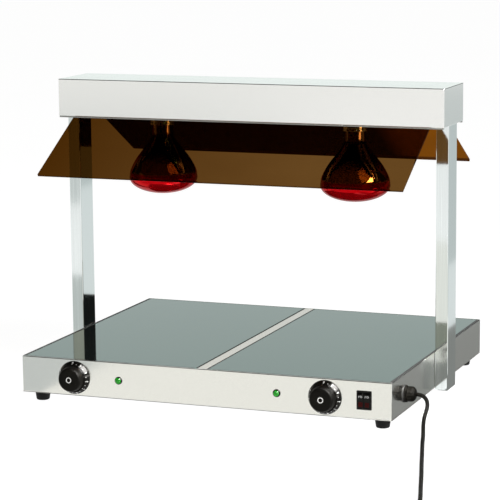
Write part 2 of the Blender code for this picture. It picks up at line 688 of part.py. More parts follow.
def make_lamps():
    """Infrared lamps: glass, screw cap and contact; each shares its mesh with its twin."""
    cap_top = LAMP_CAP_Z + LAMP_CAP_LENGTH
    inner = LAMP_CAP_RADIUS - 0.0006
    cap = [(0, cap_top), (0.0090, cap_top), (LAMP_CAP_RADIUS, cap_top - 0.0040),
           (LAMP_CAP_RADIUS, LAMP_CAP_Z), (inner, LAMP_CAP_Z), (inner, cap_top - 0.0045),
           (0.0085, cap_top - 0.0010), (0, cap_top - 0.0010)]
    tip = [(0, cap_top + GAP), (0.0048, cap_top + GAP), (0.0042, cap_top + 0.0018),
           (0, cap_top + 0.0024)]
    twins = (("lamp_glass_", draw_lathe(bulb_outline(), FINE_STEPS), RUBY, LAMP_BOTTOM),
             ("lamp_cap_", draw_lathe(cap), BRASS, 0), ("lamp_contact_", draw_lathe(tip), BRIGHT_STEEL, 0))
    for stem, shape, material, height in twins:
        left = add_piece(stem + "left", shape, material, (-LAMP_X, 0, height))
        right = add_copy(stem + "right", left.data, (LAMP_X, 0, height))
        if stem == "lamp_glass_":
            for glass in (left, right):
                wall = glass.modifiers.new("wall", "SOLIDIFY")
                wall.thickness = LAMP_WALL
                wall.offset = -1
                wall.use_even_offset = True


def make_holders():
    """Lamp holders: a mouth for the neck, a flange on the plate and a closed top."""
    flange_z = UNDERPLATE_Z + SHEET + GAP
    bore = LAMP_CAP_RADIUS + 2 * GAP
    mouth = 0.0198
    step_z = LAMP_CAP_Z + 0.0020
    profile = [(0, HOLDER_TOP - 0.0060), (bore, HOLDER_TOP - 0.0060), (bore, step_z + 0.0040),
               (mouth, step_z), (mouth, HOLDER_BOTTOM), (HOLDER_RADIUS - 0.0006, HOLDER_BOTTOM),
               (HOLDER_RADIUS, HOLDER_BOTTOM + 0.0006), (HOLDER_RADIUS, flange_z), (0.0290, flange_z),
               (0.0290, flange_z + 0.0025), (0.0215, flange_z + 0.0025), (0.0215, HOLDER_TOP - 0.0020),
               (0.0195, HOLDER_TOP), (0, HOLDER_TOP)]
    left = add_piece("lamp_holder_left", draw_lathe(profile, FINE_STEPS), CHROME, (-LAMP_X, 0, 0))
    add_copy("lamp_holder_right", left.data, (LAMP_X, 0, 0))


# ---------------------------------------------------------------- wiring and mains lead

def make_terminal_block():
    """Ceramic terminal block with five clamping screws, near the gland."""
    block = add_box_piece("terminal_block", TERMINAL_LOW, TERMINAL_HIGH, CERAMIC)
    middle_y = (TERMINAL_LOW[1] + TERMINAL_HIGH[1]) / 2

    def draw_screw_holes(shape):
        for number in range(5):
            x = TERMINAL_LOW[0] + (number + 0.5) * TERMINAL_PITCH
            draw_rod(shape, (x, middle_y, TERMINAL_HIGH[2]), (0, 0, 1), 0.0030, 0.0120, 12)

    cut(block, "screw_holes", draw_screw_holes)


def make_lamp_lead():
    """Lead from the terminal block, up inside the right post, to both holders."""
    corners = [(0.2750, -0.2037, LEAD_LOW_Z), (0.2750, 0, LEAD_LOW_Z), (POST_CENTRE_X, 0, LEAD_LOW_Z),
               (POST_CENTRE_X, 0, LEAD_HIGH_Z), (-LAMP_X, 0, LEAD_HIGH_Z)]
    add_tube("lamp_lead", round_corners(corners, 0.0075), LEAD_RADIUS, PVC, 2)


def make_gland():
    """Cable gland: threaded body with a hexagon, dome nut outside, locknut inside."""
    place = (BASE_HALF_X, GLAND_Y, GLAND_Z)
    bore = CORD_RADIUS + GAP
    body = [(bore, -0.0110), (GLAND_THREAD, -0.0110), (GLAND_THREAD, GAP), (GLAND_RADIUS, GAP),
            (GLAND_RADIUS, GLAND_FLANGE), (bore, GLAND_FLANGE)]
    add_piece("gland_body", draw_lathe(body), PVC, place, FACE_RIGHT)
    mouth = GLAND_LENGTH
    start = GLAND_FLANGE + GAP
    nut = [(0, start), (NUT_RADIUS, start), (NUT_RADIUS, start + 0.0080), (0.0126, start + 0.0110),
           (0.0092, mouth - 0.0012), (0.0072, mouth), (0, mouth)]
    add_piece("gland_nut", draw_lathe(nut), PVC, place, FACE_RIGHT)
    lock = [(GLAND_THREAD + GAP, -SHEET - GAP), (0.0125, -SHEET - GAP), (0.0125, -SHEET - 0.0050),
            (GLAND_THREAD + GAP, -SHEET - 0.0050)]
    add_piece("gland_locknut", draw_lathe(lock), PVC, place, FACE_RIGHT)


def make_mains_lead():
    """Free lead: the run from the gland, the coil, the tail and the two-pin plug."""
    run = [CORD_START] + curve_through(CORD_ROUTE + [CORD_END], CORD_STEP)
    add_tube("mains_cord", run, CORD_RADIUS, PVC, 2)
    inner = COIL_TURN_RADIUS - COIL_HALF_WIDTH
    outer = COIL_TURN_RADIUS + COIL_HALF_WIDTH
    ease = 0.0020
    ring = [(inner, GAP), (outer - ease, GAP), (outer, ease), (outer, COIL_HEIGHT - ease),
            (outer - ease, COIL_HEIGHT), (inner, COIL_HEIGHT)]
    add_piece("cord_coil", draw_lathe(ring, FINE_STEPS), PVC, (COIL_X, COIL_Y, 0))
    add_tube("cord_tail", [(TAIL_START_X, TAIL_Y, TAIL_Z), (TAIL_END_X, TAIL_Y, TAIL_Z)],
             CORD_RADIUS, PVC, 2)
    plug = [(0, GAP), (0.0055, GAP), (0.0070, 0.0120), (0.0125, 0.0170), (0.0140, 0.0300),
            (PLUG_RADIUS, 0.0350), (PLUG_RADIUS, PLUG_LENGTH - 0.0010),
            (PLUG_RADIUS - 0.0010, PLUG_LENGTH), (0, PLUG_LENGTH)]
    add_piece("plug_body", draw_lathe(plug), PVC, (TAIL_END_X, TAIL_Y, TAIL_Z), FACE_LEFT)
    pin = [(0, 0), (PIN_RADIUS, 0), (PIN_RADIUS, PIN_LENGTH - 0.0015), (0.0012, PIN_LENGTH), (0, PIN_LENGTH)]
    first = None
    for name, side in (("front", -1), ("rear", 1)):
        place = (TAIL_END_X - PLUG_LENGTH - GAP, TAIL_Y + side * PIN_HALF_PITCH, TAIL_Z)
        if first is None:
            first = add_piece("plug_pin_" + name, draw_lathe(pin, 12), BRIGHT_STEEL, place, FACE_LEFT)
        else:
            add_copy("plug_pin_" + name, first.data, place, FACE_LEFT)


clear_scene()
ASSEMBLY = make_assembly()

STEEL = paint("brushed_steel", (0.72, 0.73, 0.72), 0.32, 1.0)
MIRROR_STEEL = paint("polished_steel", (0.80, 0.82, 0.82), 0.12, 1.0)
GALVANISED = paint("galvanised_steel", (0.55, 0.56, 0.57), 0.50, 1.0)
BRIGHT_STEEL = paint("bright_steel", (0.75, 0.75, 0.76), 0.20, 1.0)
CHROME = paint("chrome", (0.80, 0.80, 0.80), 0.08, 1.0)
BRASS = paint("brass", (0.72, 0.56, 0.26), 0.28, 1.0)
BLACK_GLASS = paint("black_glass", (0.02, 0.025, 0.025), 0.05)
AMBER = paint("amber_sheet", (0.30, 0.13, 0.02), 0.06, 0.0, 0.7, 0.8)
RUBY = paint("ruby_glass", (0.35, 0.01, 0.01), 0.06)
GREEN_LENS = paint("green_lens", (0.05, 0.40, 0.14), 0.15)
BAKELITE = paint("black_plastic", (0.02, 0.02, 0.02), 0.30)
RUBBER = paint("rubber", (0.02, 0.02, 0.02), 0.75)
PVC = paint("black_pvc", (0.015, 0.015, 0.015), 0.40)
SEAL_BLACK = paint("silicone_seal", (0.03, 0.03, 0.03), 0.55)
SILICONE = paint("heating_silicone", (0.45, 0.12, 0.06), 0.60)
MINERAL_WOOL = paint("mineral_wool", (0.62, 0.58, 0.40), 0.95)
CERAMIC = paint("ceramic", (0.85, 0.83, 0.78), 0.35)

make_base_housing()
make_bottom_plate()
make_centre_strip()
for plate_name, plate_side in SIDES.items():
    make_hot_plate(plate_name, plate_side)
make_feet()
for knob_name, knob_x in KNOB_X.items():
    make_thermostat(knob_name, knob_x)
    make_knob(knob_name, knob_x)
for pilot_name, pilot_x in PILOT_X.items():
    make_pilot(pilot_name, pilot_x)
make_switch()
make_posts()
make_canopy()
make_shields()
make_holders()
make_lamps()
make_terminal_block()
make_lamp_lead()
make_gland()
make_mains_lead()
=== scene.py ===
"""Looks of the heat lamp warmer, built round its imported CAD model.

Metres, +Z up, the front faces -Y. Places and sizes come from the CAD nodes' boxes, and
heights in a turned profile are counted from the piece's own seat.
"""

import json
import math

import bmesh
import bpy
from mathutils import Matrix, Vector


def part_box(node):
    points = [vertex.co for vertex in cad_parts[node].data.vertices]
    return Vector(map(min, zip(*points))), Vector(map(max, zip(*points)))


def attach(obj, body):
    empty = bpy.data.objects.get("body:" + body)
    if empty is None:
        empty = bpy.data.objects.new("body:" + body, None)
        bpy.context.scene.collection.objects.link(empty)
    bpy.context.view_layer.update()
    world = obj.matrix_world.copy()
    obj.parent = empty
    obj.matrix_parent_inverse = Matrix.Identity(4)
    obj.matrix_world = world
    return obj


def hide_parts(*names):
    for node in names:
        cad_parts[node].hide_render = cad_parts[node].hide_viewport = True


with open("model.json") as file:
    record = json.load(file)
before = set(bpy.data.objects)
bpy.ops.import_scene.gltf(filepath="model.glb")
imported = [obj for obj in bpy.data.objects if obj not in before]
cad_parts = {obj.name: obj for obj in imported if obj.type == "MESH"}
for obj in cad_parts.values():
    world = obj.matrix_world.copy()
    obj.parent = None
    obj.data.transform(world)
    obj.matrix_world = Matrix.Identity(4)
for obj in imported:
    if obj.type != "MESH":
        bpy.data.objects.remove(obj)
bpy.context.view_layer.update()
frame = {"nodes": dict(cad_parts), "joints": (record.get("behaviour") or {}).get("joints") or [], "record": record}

SIDES = {"left": -1, "right": 1}
ROOT = "warmer"
FINE = 96                   # sides of a turned piece that shows
COARSE = 48                 # sides of a small turned piece
PROUD = 0.00005             # how far print stands proud of what it is on
SHARP = math.radians(40)    # edges sharper than this are the ones that get rounded
CAPITAL_SHARE = 0.69        # height of the font's capitals as a share of its size
BOLDER = 0.050              # how much a glyph's stroke grows, as a share of its height

BASE_LOW, BASE_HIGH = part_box("base_housing")
FRONT_Y = BASE_LOW.y
MIDDLE_Y = (BASE_LOW.y + BASE_HIGH.y) / 2
CANOPY_LOW, CANOPY_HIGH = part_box("canopy_housing")

FACE_FRONT = Matrix.Rotation(math.radians(90), 4, "X")
FACE_RIGHT = Matrix.Rotation(math.radians(90), 4, "Y")
FACE_LEFT = Matrix.Rotation(math.radians(-90), 4, "Y")
UPRIGHT = Matrix.Identity(4)


def in_scene(name, data):
    """New object of the scene with this data."""
    made = bpy.data.objects.new(name, data)
    bpy.context.scene.collection.objects.link(made)
    return made


# ---------------------------------------------------------------- shapes

def middle_of(node):
    """Middle of a CAD node's box."""
    low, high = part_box(node)
    return (low + high) / 2


def seat_on_front(node):
    """Point of the base's front face behind the middle of a CAD node."""
    middle = middle_of(node)
    return Vector((middle.x, FRONT_Y, middle.z))


def rounded(outline, radius, parts=4):
    """Open outline of (across, up) points with its inner corners turned into arcs."""
    nodes = [Vector(point) for point in outline]
    result = [nodes[0]]
    for before, corner, after in zip(nodes, nodes[1:], nodes[2:]):
        reach = min(radius, 0.45 * (before - corner).length, 0.45 * (after - corner).length)
        start = corner + (before - corner).normalized() * reach
        end = corner + (after - corner).normalized() * reach
        for part in range(parts + 1):
            t = part / parts
            result.append((1 - t) ** 2 * start + 2 * t * (1 - t) * corner + t ** 2 * end)
    result.append(nodes[-1])
    return result


def flowing(points, parts=6):
    """Smooth curve through points, as a list of Vectors."""
    nodes = [Vector(point) for point in points]
    nodes = [2 * nodes[0] - nodes[1]] + nodes + [2 * nodes[-1] - nodes[-2]]
    result = []
    for before, start, end, after in zip(nodes, nodes[1:], nodes[2:], nodes[3:]):
        for part in range(parts):
            t = part / parts
            result.append(0.5 * (2 * start + (end - before) * t
                                 + (2 * before - 5 * start + 4 * end - after) * t ** 2
                                 + (3 * start - before - 3 * end + after) * t ** 3))
    result.append(nodes[-2])
    return result


def turned(profile, steps=FINE):
    """Closed body turned round Z from (radius, height) points; off the axis it is a ring."""
    shape = bmesh.new()
    points = [shape.verts.new((radius, 0, height)) for radius, height in profile]
    edges = [shape.edges.new(pair) for pair in zip(points, points[1:])]
    if profile[0][0] > 0:
        edges.append(shape.edges.new((points[-1], points[0])))
    bmesh.ops.spin(shape, geom=points + edges, cent=(0, 0, 0), axis=(0, 0, 1),
                   angle=2 * math.pi, steps=steps)
    bmesh.ops.remove_doubles(shape, verts=shape.verts, dist=1e-6)
    return shape


def wave(angle):
    """Rise from 0 to 1 and back to 0 over a full turn of the angle."""
    return 0.5 - 0.5 * math.cos(angle)


def drawn_out(outline, half_x):
    """Closed (y, z) outline extruded along X, equally far both ways."""
    shape = bmesh.new()
    face = shape.faces.new([shape.verts.new((-half_x, y, z)) for y, z in outline])
    moved = bmesh.ops.extrude_face_region(shape, geom=[face])["geom"]
    points = [item for item in moved if isinstance(item, bmesh.types.BMVert)]
    bmesh.ops.translate(shape, verts=points, vec=(2 * half_x, 0, 0))
    return shape


def mesh_of(name, shape):
    """Mesh made from a bmesh, which is freed."""
    mesh = bpy.data.meshes.new(name)
    shape.to_mesh(mesh)
    shape.free()
    return mesh


def add_piece(name, shape, slot, body=ROOT, seat=UPRIGHT, place=(0, 0, 0), stands_for=(), finish=None,
              smooth=35):
    """Turn a bmesh into a piece that rides on a CAD body; its place is in its vertices.

    seat turns the shape, and stands_for names the CAD nodes that it replaces. A finish is
    given only where it is not the slot's own. Edges sharper than smooth degrees stay sharp.
    """
    shape.transform(Matrix.Translation(place) @ seat)
    bmesh.ops.recalc_face_normals(shape, faces=shape.faces)
    mesh = mesh_of(name, shape)
    mesh.shade_smooth()
    mesh.set_sharp_from_angle(angle=math.radians(smooth))
    mesh.materials.append(finish or SLOT_FINISH[slot])
    piece = in_scene(name, mesh)
    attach(piece, body)
    if stands_for:
        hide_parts(*stands_for)
    return piece


def soften(piece, width, segments=3):
    """Round the sharp edges of a piece."""
    bevel = piece.modifiers.new("edges", "BEVEL")
    bevel.width = width
    bevel.segments = segments
    bevel.limit_method = "ANGLE"
    bevel.angle_limit = SHARP


def add_print(shape, outline_points):
    """Add one flat filled outline to a bmesh."""
    shape.faces.new([shape.verts.new(point) for point in outline_points])


def glyph_faces(text, height):
    """Vertices and faces of a flat character, its middle at the origin."""
    curve = bpy.data.curves.new("glyph", "FONT")
    curve.body = text
    curve.size = height / CAPITAL_SHARE
    curve.offset = height * BOLDER
    curve.align_x = "CENTER"
    curve.align_y = "CENTER"
    holder = in_scene("glyph", curve)
    bpy.context.view_layer.update()
    mesh = holder.to_mesh()
    points = [vertex.co.copy() for vertex in mesh.vertices]
    faces = [tuple(face.vertices) for face in mesh.polygons]
    holder.to_mesh_clear()
    bpy.data.objects.remove(holder)
    bpy.data.curves.remove(curve)
    return points, faces


# ---------------------------------------------------------------- materials

class Nodes:
    """A node tree and the few chains of nodes that the materials and the world share."""

    def __init__(self, tree):
        self.tree = tree

    def node(self, kind, **settings):
        """New node with some of its settings made."""
        made = self.tree.nodes.new(kind)
        for key, value in settings.items():
            setattr(made, key, value)
        return made

    def feed(self, socket, value):
        """Give an input a constant, or lead another node's output to it."""
        if hasattr(value, "is_linked"):
            self.tree.links.new(value, socket)
        elif socket.type == "RGBA":
            socket.default_value = (*value, 1)
        else:
            socket.default_value = value

    def part(self, vector, axis):
        """One of the three parts of a vector."""
        split = self.node("ShaderNodeSeparateXYZ")
        self.feed(split.inputs["Vector"], vector)
        return split.outputs[axis]

    def maths(self, operation, first, second=0.0):
        """Result of a Math node on one or two numbers."""
        made = self.node("ShaderNodeMath", operation=operation)
        self.feed(made.inputs[0], first)
        self.feed(made.inputs[1], second)
        return made.outputs["Value"]

    def ranged(self, value, low, high, start=0.3, end=0.7, **settings):
        """Map a value onto a range, clamped."""
        made = self.node("ShaderNodeMapRange", **settings)
        inputs = {"Value": value, "From Min": start, "From Max": end, "To Min": low, "To Max": high}
        for socket, number in inputs.items():
            self.feed(made.inputs[socket], number)
        return made.outputs["Result"]

    def mixed(self, factor, first, second, kind="RGBA"):
        """Mix two colours, or two vectors, each a constant or a socket."""
        made = self.node("ShaderNodeMix", data_type=kind)
        self.feed(made.inputs["Factor"], factor)
        ends = [item for item in made.inputs if item.type == kind][-2:]
        self.feed(ends[0], first)
        self.feed(ends[1], second)
        return [item for item in made.outputs if item.type == kind][0]


class Finish(Nodes):
    """A Principled material with procedural texture."""

    def __init__(self, name, **constants):
        self.material = bpy.data.materials.new(name)
        self.material.use_nodes = True
        super().__init__(self.material.node_tree)
        self.shader = self.tree.nodes["Principled BSDF"]
        self.place = self.node("ShaderNodeTexCoord").outputs["Object"]
        for socket, value in constants.items():
            self.shader.inputs[socket.replace("_", " ")].default_value = value

    def scaled(self, scale):
        """The place in the piece, stretched differently along each axis."""
        mapping = self.node("ShaderNodeMapping")
        self.feed(mapping.inputs["Vector"], self.place)
        self.feed(mapping.inputs["Scale"], scale)
        return mapping.outputs["Vector"]

    def noise(self, scale, detail=4.0):
        """Noise of one size, or stretched where scale has three numbers."""
        return self.noise_at(self.scaled(scale if hasattr(scale, "__len__") else (scale,) * 3), detail)

    def noise_at(self, vector, detail):
        """Noise at a vector."""
        made = self.node("ShaderNodeTexNoise")
        self.feed(made.inputs["Vector"], vector)
        self.feed(made.inputs["Scale"], 1.0)
        self.feed(made.inputs["Detail"], detail)
        return made.outputs["Fac"]

    def edges(self, radius):
        """1 on edges that are handled most, falling to 0 on the flats."""
        bevel = self.node("ShaderNodeBevel", samples=4)
        self.feed(bevel.inputs["Radius"], radius)
        dot = self.node("ShaderNodeVectorMath", operation="DOT_PRODUCT")
        self.feed(dot.inputs[0], bevel.outputs["Normal"])
        self.feed(dot.inputs[1], self.node("ShaderNodeNewGeometry").outputs["Normal"])
        return self.ranged(dot.outputs["Value"], 1.0, 0.0, 0.86, 0.995)

    def look(self, colour, roughness):
        """Give the shader its base colour and roughness."""
        self.feed(self.shader.inputs["Base Color"], colour)
        self.feed(self.shader.inputs["Roughness"], roughness)

    def bump(self, height, depth, strength):
        """Raise the surface by a height that is 1 at a depth in metres."""
        made = self.node("ShaderNodeBump")
        self.feed(made.inputs["Strength"], strength)
        self.feed(made.inputs["Distance"], depth)
        self.feed(made.inputs["Height"], height)
        self.feed(self.shader.inputs["Normal"], made.outputs["Normal"])


def shaded(tone, factor):
    """Colour made lighter or darker by a factor."""
    return tuple(min(1.0, part * factor) for part in tone)


def brushed_steel(name, tone, rough, along="Y", worn=0.30):
    """Steel with its grain drawn out along one axis, and none on faces that look along X."""
    finish = Finish(name, Metallic=1.0)
    stretch = {"Y": (900, 6, 900), "Z": (900, 900, 6)}[along]
    normal = finish.node("ShaderNodeNewGeometry").outputs["True Normal"]
    facing_x = finish.maths("ABSOLUTE", finish.part(normal, "X"))
    plain = finish.ranged(facing_x, 0.0, 1.0, 0.65, 0.75)
    streaks = finish.noise_at(finish.mixed(plain, finish.scaled(stretch), (0, 0, 0), "VECTOR"), 3.0)
    base = finish.mixed(finish.ranged(streaks, 0.0, 1.0), shaded(tone, 0.93), shaded(tone, 1.06))
    base = finish.mixed(finish.ranged(finish.noise(9.0, 2.0), 0.0, 0.35), base, tone)
    worn_share = finish.maths("MULTIPLY", finish.edges(0.0012), worn)
    base = finish.mixed(worn_share, base, (0.95, 0.95, 0.94))
    finish.look(base, finish.ranged(streaks, *rough, 0.2, 0.8))
    finish.bump(streaks, 0.000012, 0.5)
    return finish.material


def moulded(name, tone, rough, grain=2200.0, depth=0.00002, worn=None, **constants):
    """Moulded plastic or rubber: fine grain, faint blotches and rubbed edges."""
    finish = Finish(name, **constants)
    blotch = finish.noise(45.0, 3.0)
    lighter = tuple(part + 0.002 for part in shaded(tone, 1.5))
    base = finish.mixed(finish.ranged(blotch, 0.0, 1.0), tone, lighter)
    if worn:
        base = finish.mixed(finish.edges(0.0006), base, worn)
    finish.look(base, finish.ranged(blotch, *rough))
    finish.bump(finish.noise(grain, 2.0), depth, 0.4)
    return finish.material


def plated(name, tone, rough):
    """Smooth metal with faint tarnish and small scratches."""
    finish = Finish(name, Metallic=1.0)
    cloud = finish.noise(60.0, 4.0)
    tarnish = finish.ranged(cloud, 0.0, 1.0, 0.4, 0.8)
    finish.look(finish.mixed(tarnish, tone, shaded(tone, 0.82)), finish.ranged(cloud, *rough))
    finish.bump(finish.noise((400, 4000, 900), 2.0), 0.000006, 0.4)
    return finish.material


def fibrous(name, tone, rough):
    """Unglazed or fibrous matter inside the housing."""
    finish = Finish(name)
    grain = finish.noise((900, 260, 900), 6.0)
    colour = finish.mixed(finish.ranged(grain, 0.0, 1.0), shaded(tone, 0.7), tone)
    finish.look(colour, finish.ranged(grain, *rough))
    finish.bump(grain, 0.0002, 0.6)
    return finish.material


def hot_plate_glass():
    """Black glass with a faint green sheen, wiped-off smears and specks."""
    finish = Finish("black_glass", IOR=1.75, Specular_Tint=(0.25, 1.0, 0.8, 1))
    smear = finish.noise((7.0, 19.0, 7.0), 5.0)
    speck = finish.ranged(finish.noise(1500.0, 1.0), 0.0, 1.0, 0.72, 0.80)
    colour = finish.mixed(speck, (0.006, 0.009, 0.008), (0.06, 0.07, 0.07))
    finish.look(colour, finish.ranged(smear, 0.025, 0.075))
    finish.bump(smear, 0.00002, 0.015)
    return finish.material


def amber_sheet(name, left, right, edge, edge_height, fade_start, fade_end):
    """Clear amber sheet, deeper in colour on the left and along its free lower edge; on the rear sheet the deeper
    left is painted shade.

    The colour goes over from left to right between two places along X. The optical index is
    kept near 1, well below acrylic's, so that no pale reflections show at a low angle.
    """
    finish = Finish(name, Transmission_Weight=1.0, IOR=1.02)
    edge_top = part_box("shield_rear")[0].z + edge_height
    edge_share = finish.ranged(finish.part(finish.place, "Z"), 0.9, 0.0, edge_top, edge_top + 0.002)
    smear = finish.noise((9.0, 9.0, 30.0), 4.0)
    rightness = finish.ranged(finish.part(finish.place, "X"), 0.0, 1.0, fade_start, fade_end)
    tint = finish.mixed(rightness, left, right)
    tint = finish.mixed(finish.ranged(smear, 0.0, 0.12), tint, shaded(left, 0.90))
    finish.look(finish.mixed(edge_share, tint, edge), finish.ranged(smear, 0.0, 0.03))
    finish.bump(smear, 0.00001, 0.05)
    return finish.material


RUBY_HEIGHT = 0.040         # how far up a lamp the ruby reaches


def lamp_mirror():
    """Lamp glass: ruby over the silvering of the bowl, mirror above it, and from the shoulder up painted dark as a
    painted reflection of dark surroundings.
    """
    finish = Finish("ruby_glass", Specular_Tint=(0.35, 0.06, 0.04, 1))
    height = finish.part(finish.place, "Z")
    low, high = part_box("lamp_glass_left")
    belt = low.z + RUBY_HEIGHT
    above_belt = finish.ranged(height, 0.0, 1.0, belt - 0.0015, belt + 0.0025)
    shoulder = finish.ranged(height, 0.0, 1.0, belt + 0.014, belt + 0.034)
    neck = finish.ranged(height, 0.0, 1.0, high.z - 0.041, high.z - 0.037)
    ripple = finish.noise(32.0, 3.0)
    cloud = finish.ranged(ripple, 0.0, 1.0)
    ruby = finish.mixed(cloud, (0.50, 0.001, 0.004), (0.66, 0.003, 0.008))
    silver = finish.mixed(cloud, (0.74, 0.46, 0.30), (0.92, 0.64, 0.44))
    # From the shoulder up the mirror is painted dark: a painted reflection of the dark surroundings.
    painted_dark_reflection = finish.mixed(shoulder, silver, (0.09, 0.045, 0.03))
    upper = finish.mixed(neck, painted_dark_reflection, (0.30, 0.20, 0.15))
    finish.look(finish.mixed(above_belt, ruby, upper), finish.ranged(ripple, 0.03, 0.09))
    finish.feed(finish.shader.inputs["Metallic"], finish.ranged(above_belt, 0.55, 1.0, 0.0, 1.0))
    finish.bump(ripple, 0.0006, 0.35)
    return finish.material


def knob_plastic():
    """Black moulding with a glossy dial and a duller grip in front of it."""
    finish = Finish("knob_plastic")
    grip = finish.ranged(finish.part(finish.place, "Y"), 1.0, 0.0, FRONT_Y - 0.0115, FRONT_Y - 0.0100)
    blotch = finish.ranged(finish.noise(45.0, 3.0), 0.0, 1.0)
    colour = finish.mixed(blotch, (0.0025, 0.0023, 0.0018), (0.006, 0.0055, 0.004))
    finish.look(colour, finish.ranged(grip, 0.15, 0.40, 0.0, 1.0))
    finish.feed(finish.shader.inputs["Specular IOR Level"], finish.ranged(grip, 0.20, 0.07, 0.0, 1.0))
    finish.bump(finish.noise(2200.0, 2.0), 0.00002, 0.4)
    return finish.material


def clear_lens(name, tone):
    """Coloured clear plastic with flow marks."""
    finish = Finish(name, Transmission_Weight=0.35, IOR=1.49, Specular_IOR_Level=0.12)
    flow = finish.noise(700.0, 2.0)
    colour = finish.mixed(finish.ranged(flow, 0.0, 1.0), tone, shaded(tone, 1.5))
    finish.look(colour, finish.ranged(flow, 0.05, 0.16))
    finish.bump(flow, 0.00005, 0.3)
    return finish.material


SEAL = moulded("silicone_seal", (0.012, 0.012, 0.012), (0.45, 0.60), 1600.0, 0.00003)
SLOT_FINISH = {
    "brushed_steel": brushed_steel("brushed_steel", (0.84, 0.84, 0.815), (0.12, 0.20)),
    "polished_steel": brushed_steel("polished_steel", (0.76, 0.80, 0.79), (0.04, 0.10), "Z", 0.10),
    "galvanised_steel": brushed_steel("galvanised_steel", (0.52, 0.54, 0.55), (0.38, 0.55)),
    "bright_steel": plated("bright_steel", (0.72, 0.72, 0.73), (0.15, 0.28)),
    "chrome": plated("chrome", (0.62, 0.60, 0.58), (0.05, 0.12)),
    "brass": plated("brass", (0.70, 0.50, 0.22), (0.20, 0.34)),
    "black_glass": hot_plate_glass(),
    "amber_glass": amber_sheet("amber_glass", (0.064, 0.022, 0.002), (0.132, 0.062, 0.015),
                               (0.030, 0.010, 0.001), 0.0006, BASE_LOW.x, BASE_HIGH.x * 0.45),
    "ruby_glass": lamp_mirror(),
    "green_lens": clear_lens("green_lens", (0.022, 0.36, 0.028)),
    "black_plastic": moulded("black_plastic", (0.003, 0.0028, 0.0024), (0.15, 0.25),
                             worn=(0.01, 0.01, 0.01), Specular_IOR_Level=0.15),
    "rubber": moulded("rubber", (0.004, 0.004, 0.004), (0.45, 0.60), 1500.0, 0.00006, (0.01, 0.01, 0.01),
                      Specular_IOR_Level=0.15),
    "black_pvc": moulded("black_pvc", (0.004, 0.0035, 0.0025), (0.42, 0.55), 1300.0, 0.00003,
                         Specular_IOR_Level=0.04),
    "silicone_seal": SEAL,
    "heating_silicone": moulded("heating_silicone", (0.32, 0.06, 0.03), (0.50, 0.65), 700.0, 0.00008),
    "mineral_wool": fibrous("mineral_wool", (0.62, 0.56, 0.38), (0.90, 1.0)),
    "ceramic": fibrous("ceramic", (0.82, 0.80, 0.75), (0.35, 0.55)),
}
# Finishes of single nodes and pieces that look different from the rest of their slot
# The hems' steel is much darker than the rest: painted shade of the bends that turn under.
HEM_PAINTED_SHADE = brushed_steel("hem_steel_painted_shade", (0.22, 0.22, 0.21), (0.30, 0.42))
STRIP = brushed_steel("strip_steel", (0.69, 0.63, 0.575), (0.20, 0.30))
# Rear sheet: much darker on the left, behind the lamps and under the canopy; that darker left is painted shade.
REAR_AMBER_PAINTED_SHADE = amber_sheet("rear_amber_painted_shade", (0.030, 0.012, 0.003), (0.190, 0.058, 0.001),
                         (0.045, 0.012, 0.001), 0.0060, BASE_HIGH.x * 0.56, BASE_HIGH.x * 0.68)
KNOB_PLASTIC = knob_plastic()
RED_WINDOW = moulded("red_window", (0.030, 0.001, 0.001), (0.12, 0.22), 900.0, 0.00001,
                     Specular_IOR_Level=0.08)
PRINT = moulded("white_print", (0.86, 0.86, 0.84), (0.40, 0.55), 2500.0, 0.00001)
GREY_PRINT = moulded("grey_print", (0.40, 0.40, 0.40), (0.40, 0.55), 2500.0, 0.00001)
NODE_FINISH = {"shield_rear": REAR_AMBER_PAINTED_SHADE, "centre_strip": STRIP}


def finish_cad_nodes():
    """Give each CAD node its own finish, or that of its material slot."""
    for part in frame["record"]["subparts"]:
        mesh = frame["nodes"][part["node"]].data
        mesh.materials.clear()
        mesh.materials.append(NODE_FINISH.get(part["node"], SLOT_FINISH[part["material_slot"]]))


# ---------------------------------------------------------------- camera and mains lead

CAMERA_PLACE = Vector((1.41717, -3.73255, 0.92938))
CAMERA_AZIMUTH = math.radians(20.953)
CAMERA_ELEVATION = math.radians(9.638)
CAMERA_ROLL = math.radians(-0.536)
CAMERA_LENS = 157.58


def make_camera():
    """Camera at the photograph's viewing angle."""
    level_right = Vector((math.cos(CAMERA_AZIMUTH), math.sin(CAMERA_AZIMUTH), 0))
    level_back = Vector((math.sin(CAMERA_AZIMUTH), -math.cos(CAMERA_AZIMUTH), 0))
    back = level_back * math.cos(CAMERA_ELEVATION) + Vector((0, 0, math.sin(CAMERA_ELEVATION)))
    level_up = back.cross(level_right)
    right = level_right * math.cos(CAMERA_ROLL) + level_up * math.sin(CAMERA_ROLL)
    up = level_up * math.cos(CAMERA_ROLL) - level_right * math.sin(CAMERA_ROLL)
    data = bpy.data.cameras.new("camera")
    data.lens = CAMERA_LENS
    data.sensor_width = 36.0
    data.clip_start = 0.1
    data.clip_end = 100.0
    camera = in_scene("camera", data)
    turn = Matrix((right, up, back)).transposed().to_4x4()
    camera.matrix_world = Matrix.Translation(CAMERA_PLACE) @ turn
    bpy.context.scene.camera = camera


CORD_RADIUS = 0.0035
INTO_GLAND = 0.004          # how far the drawn lead reaches into the gland
INTO_PLUG = 0.002
GLAND_LOW, GLAND_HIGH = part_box("gland_nut")
CORD_EXIT = Vector((GLAND_HIGH.x, *middle_of("gland_nut").yz))
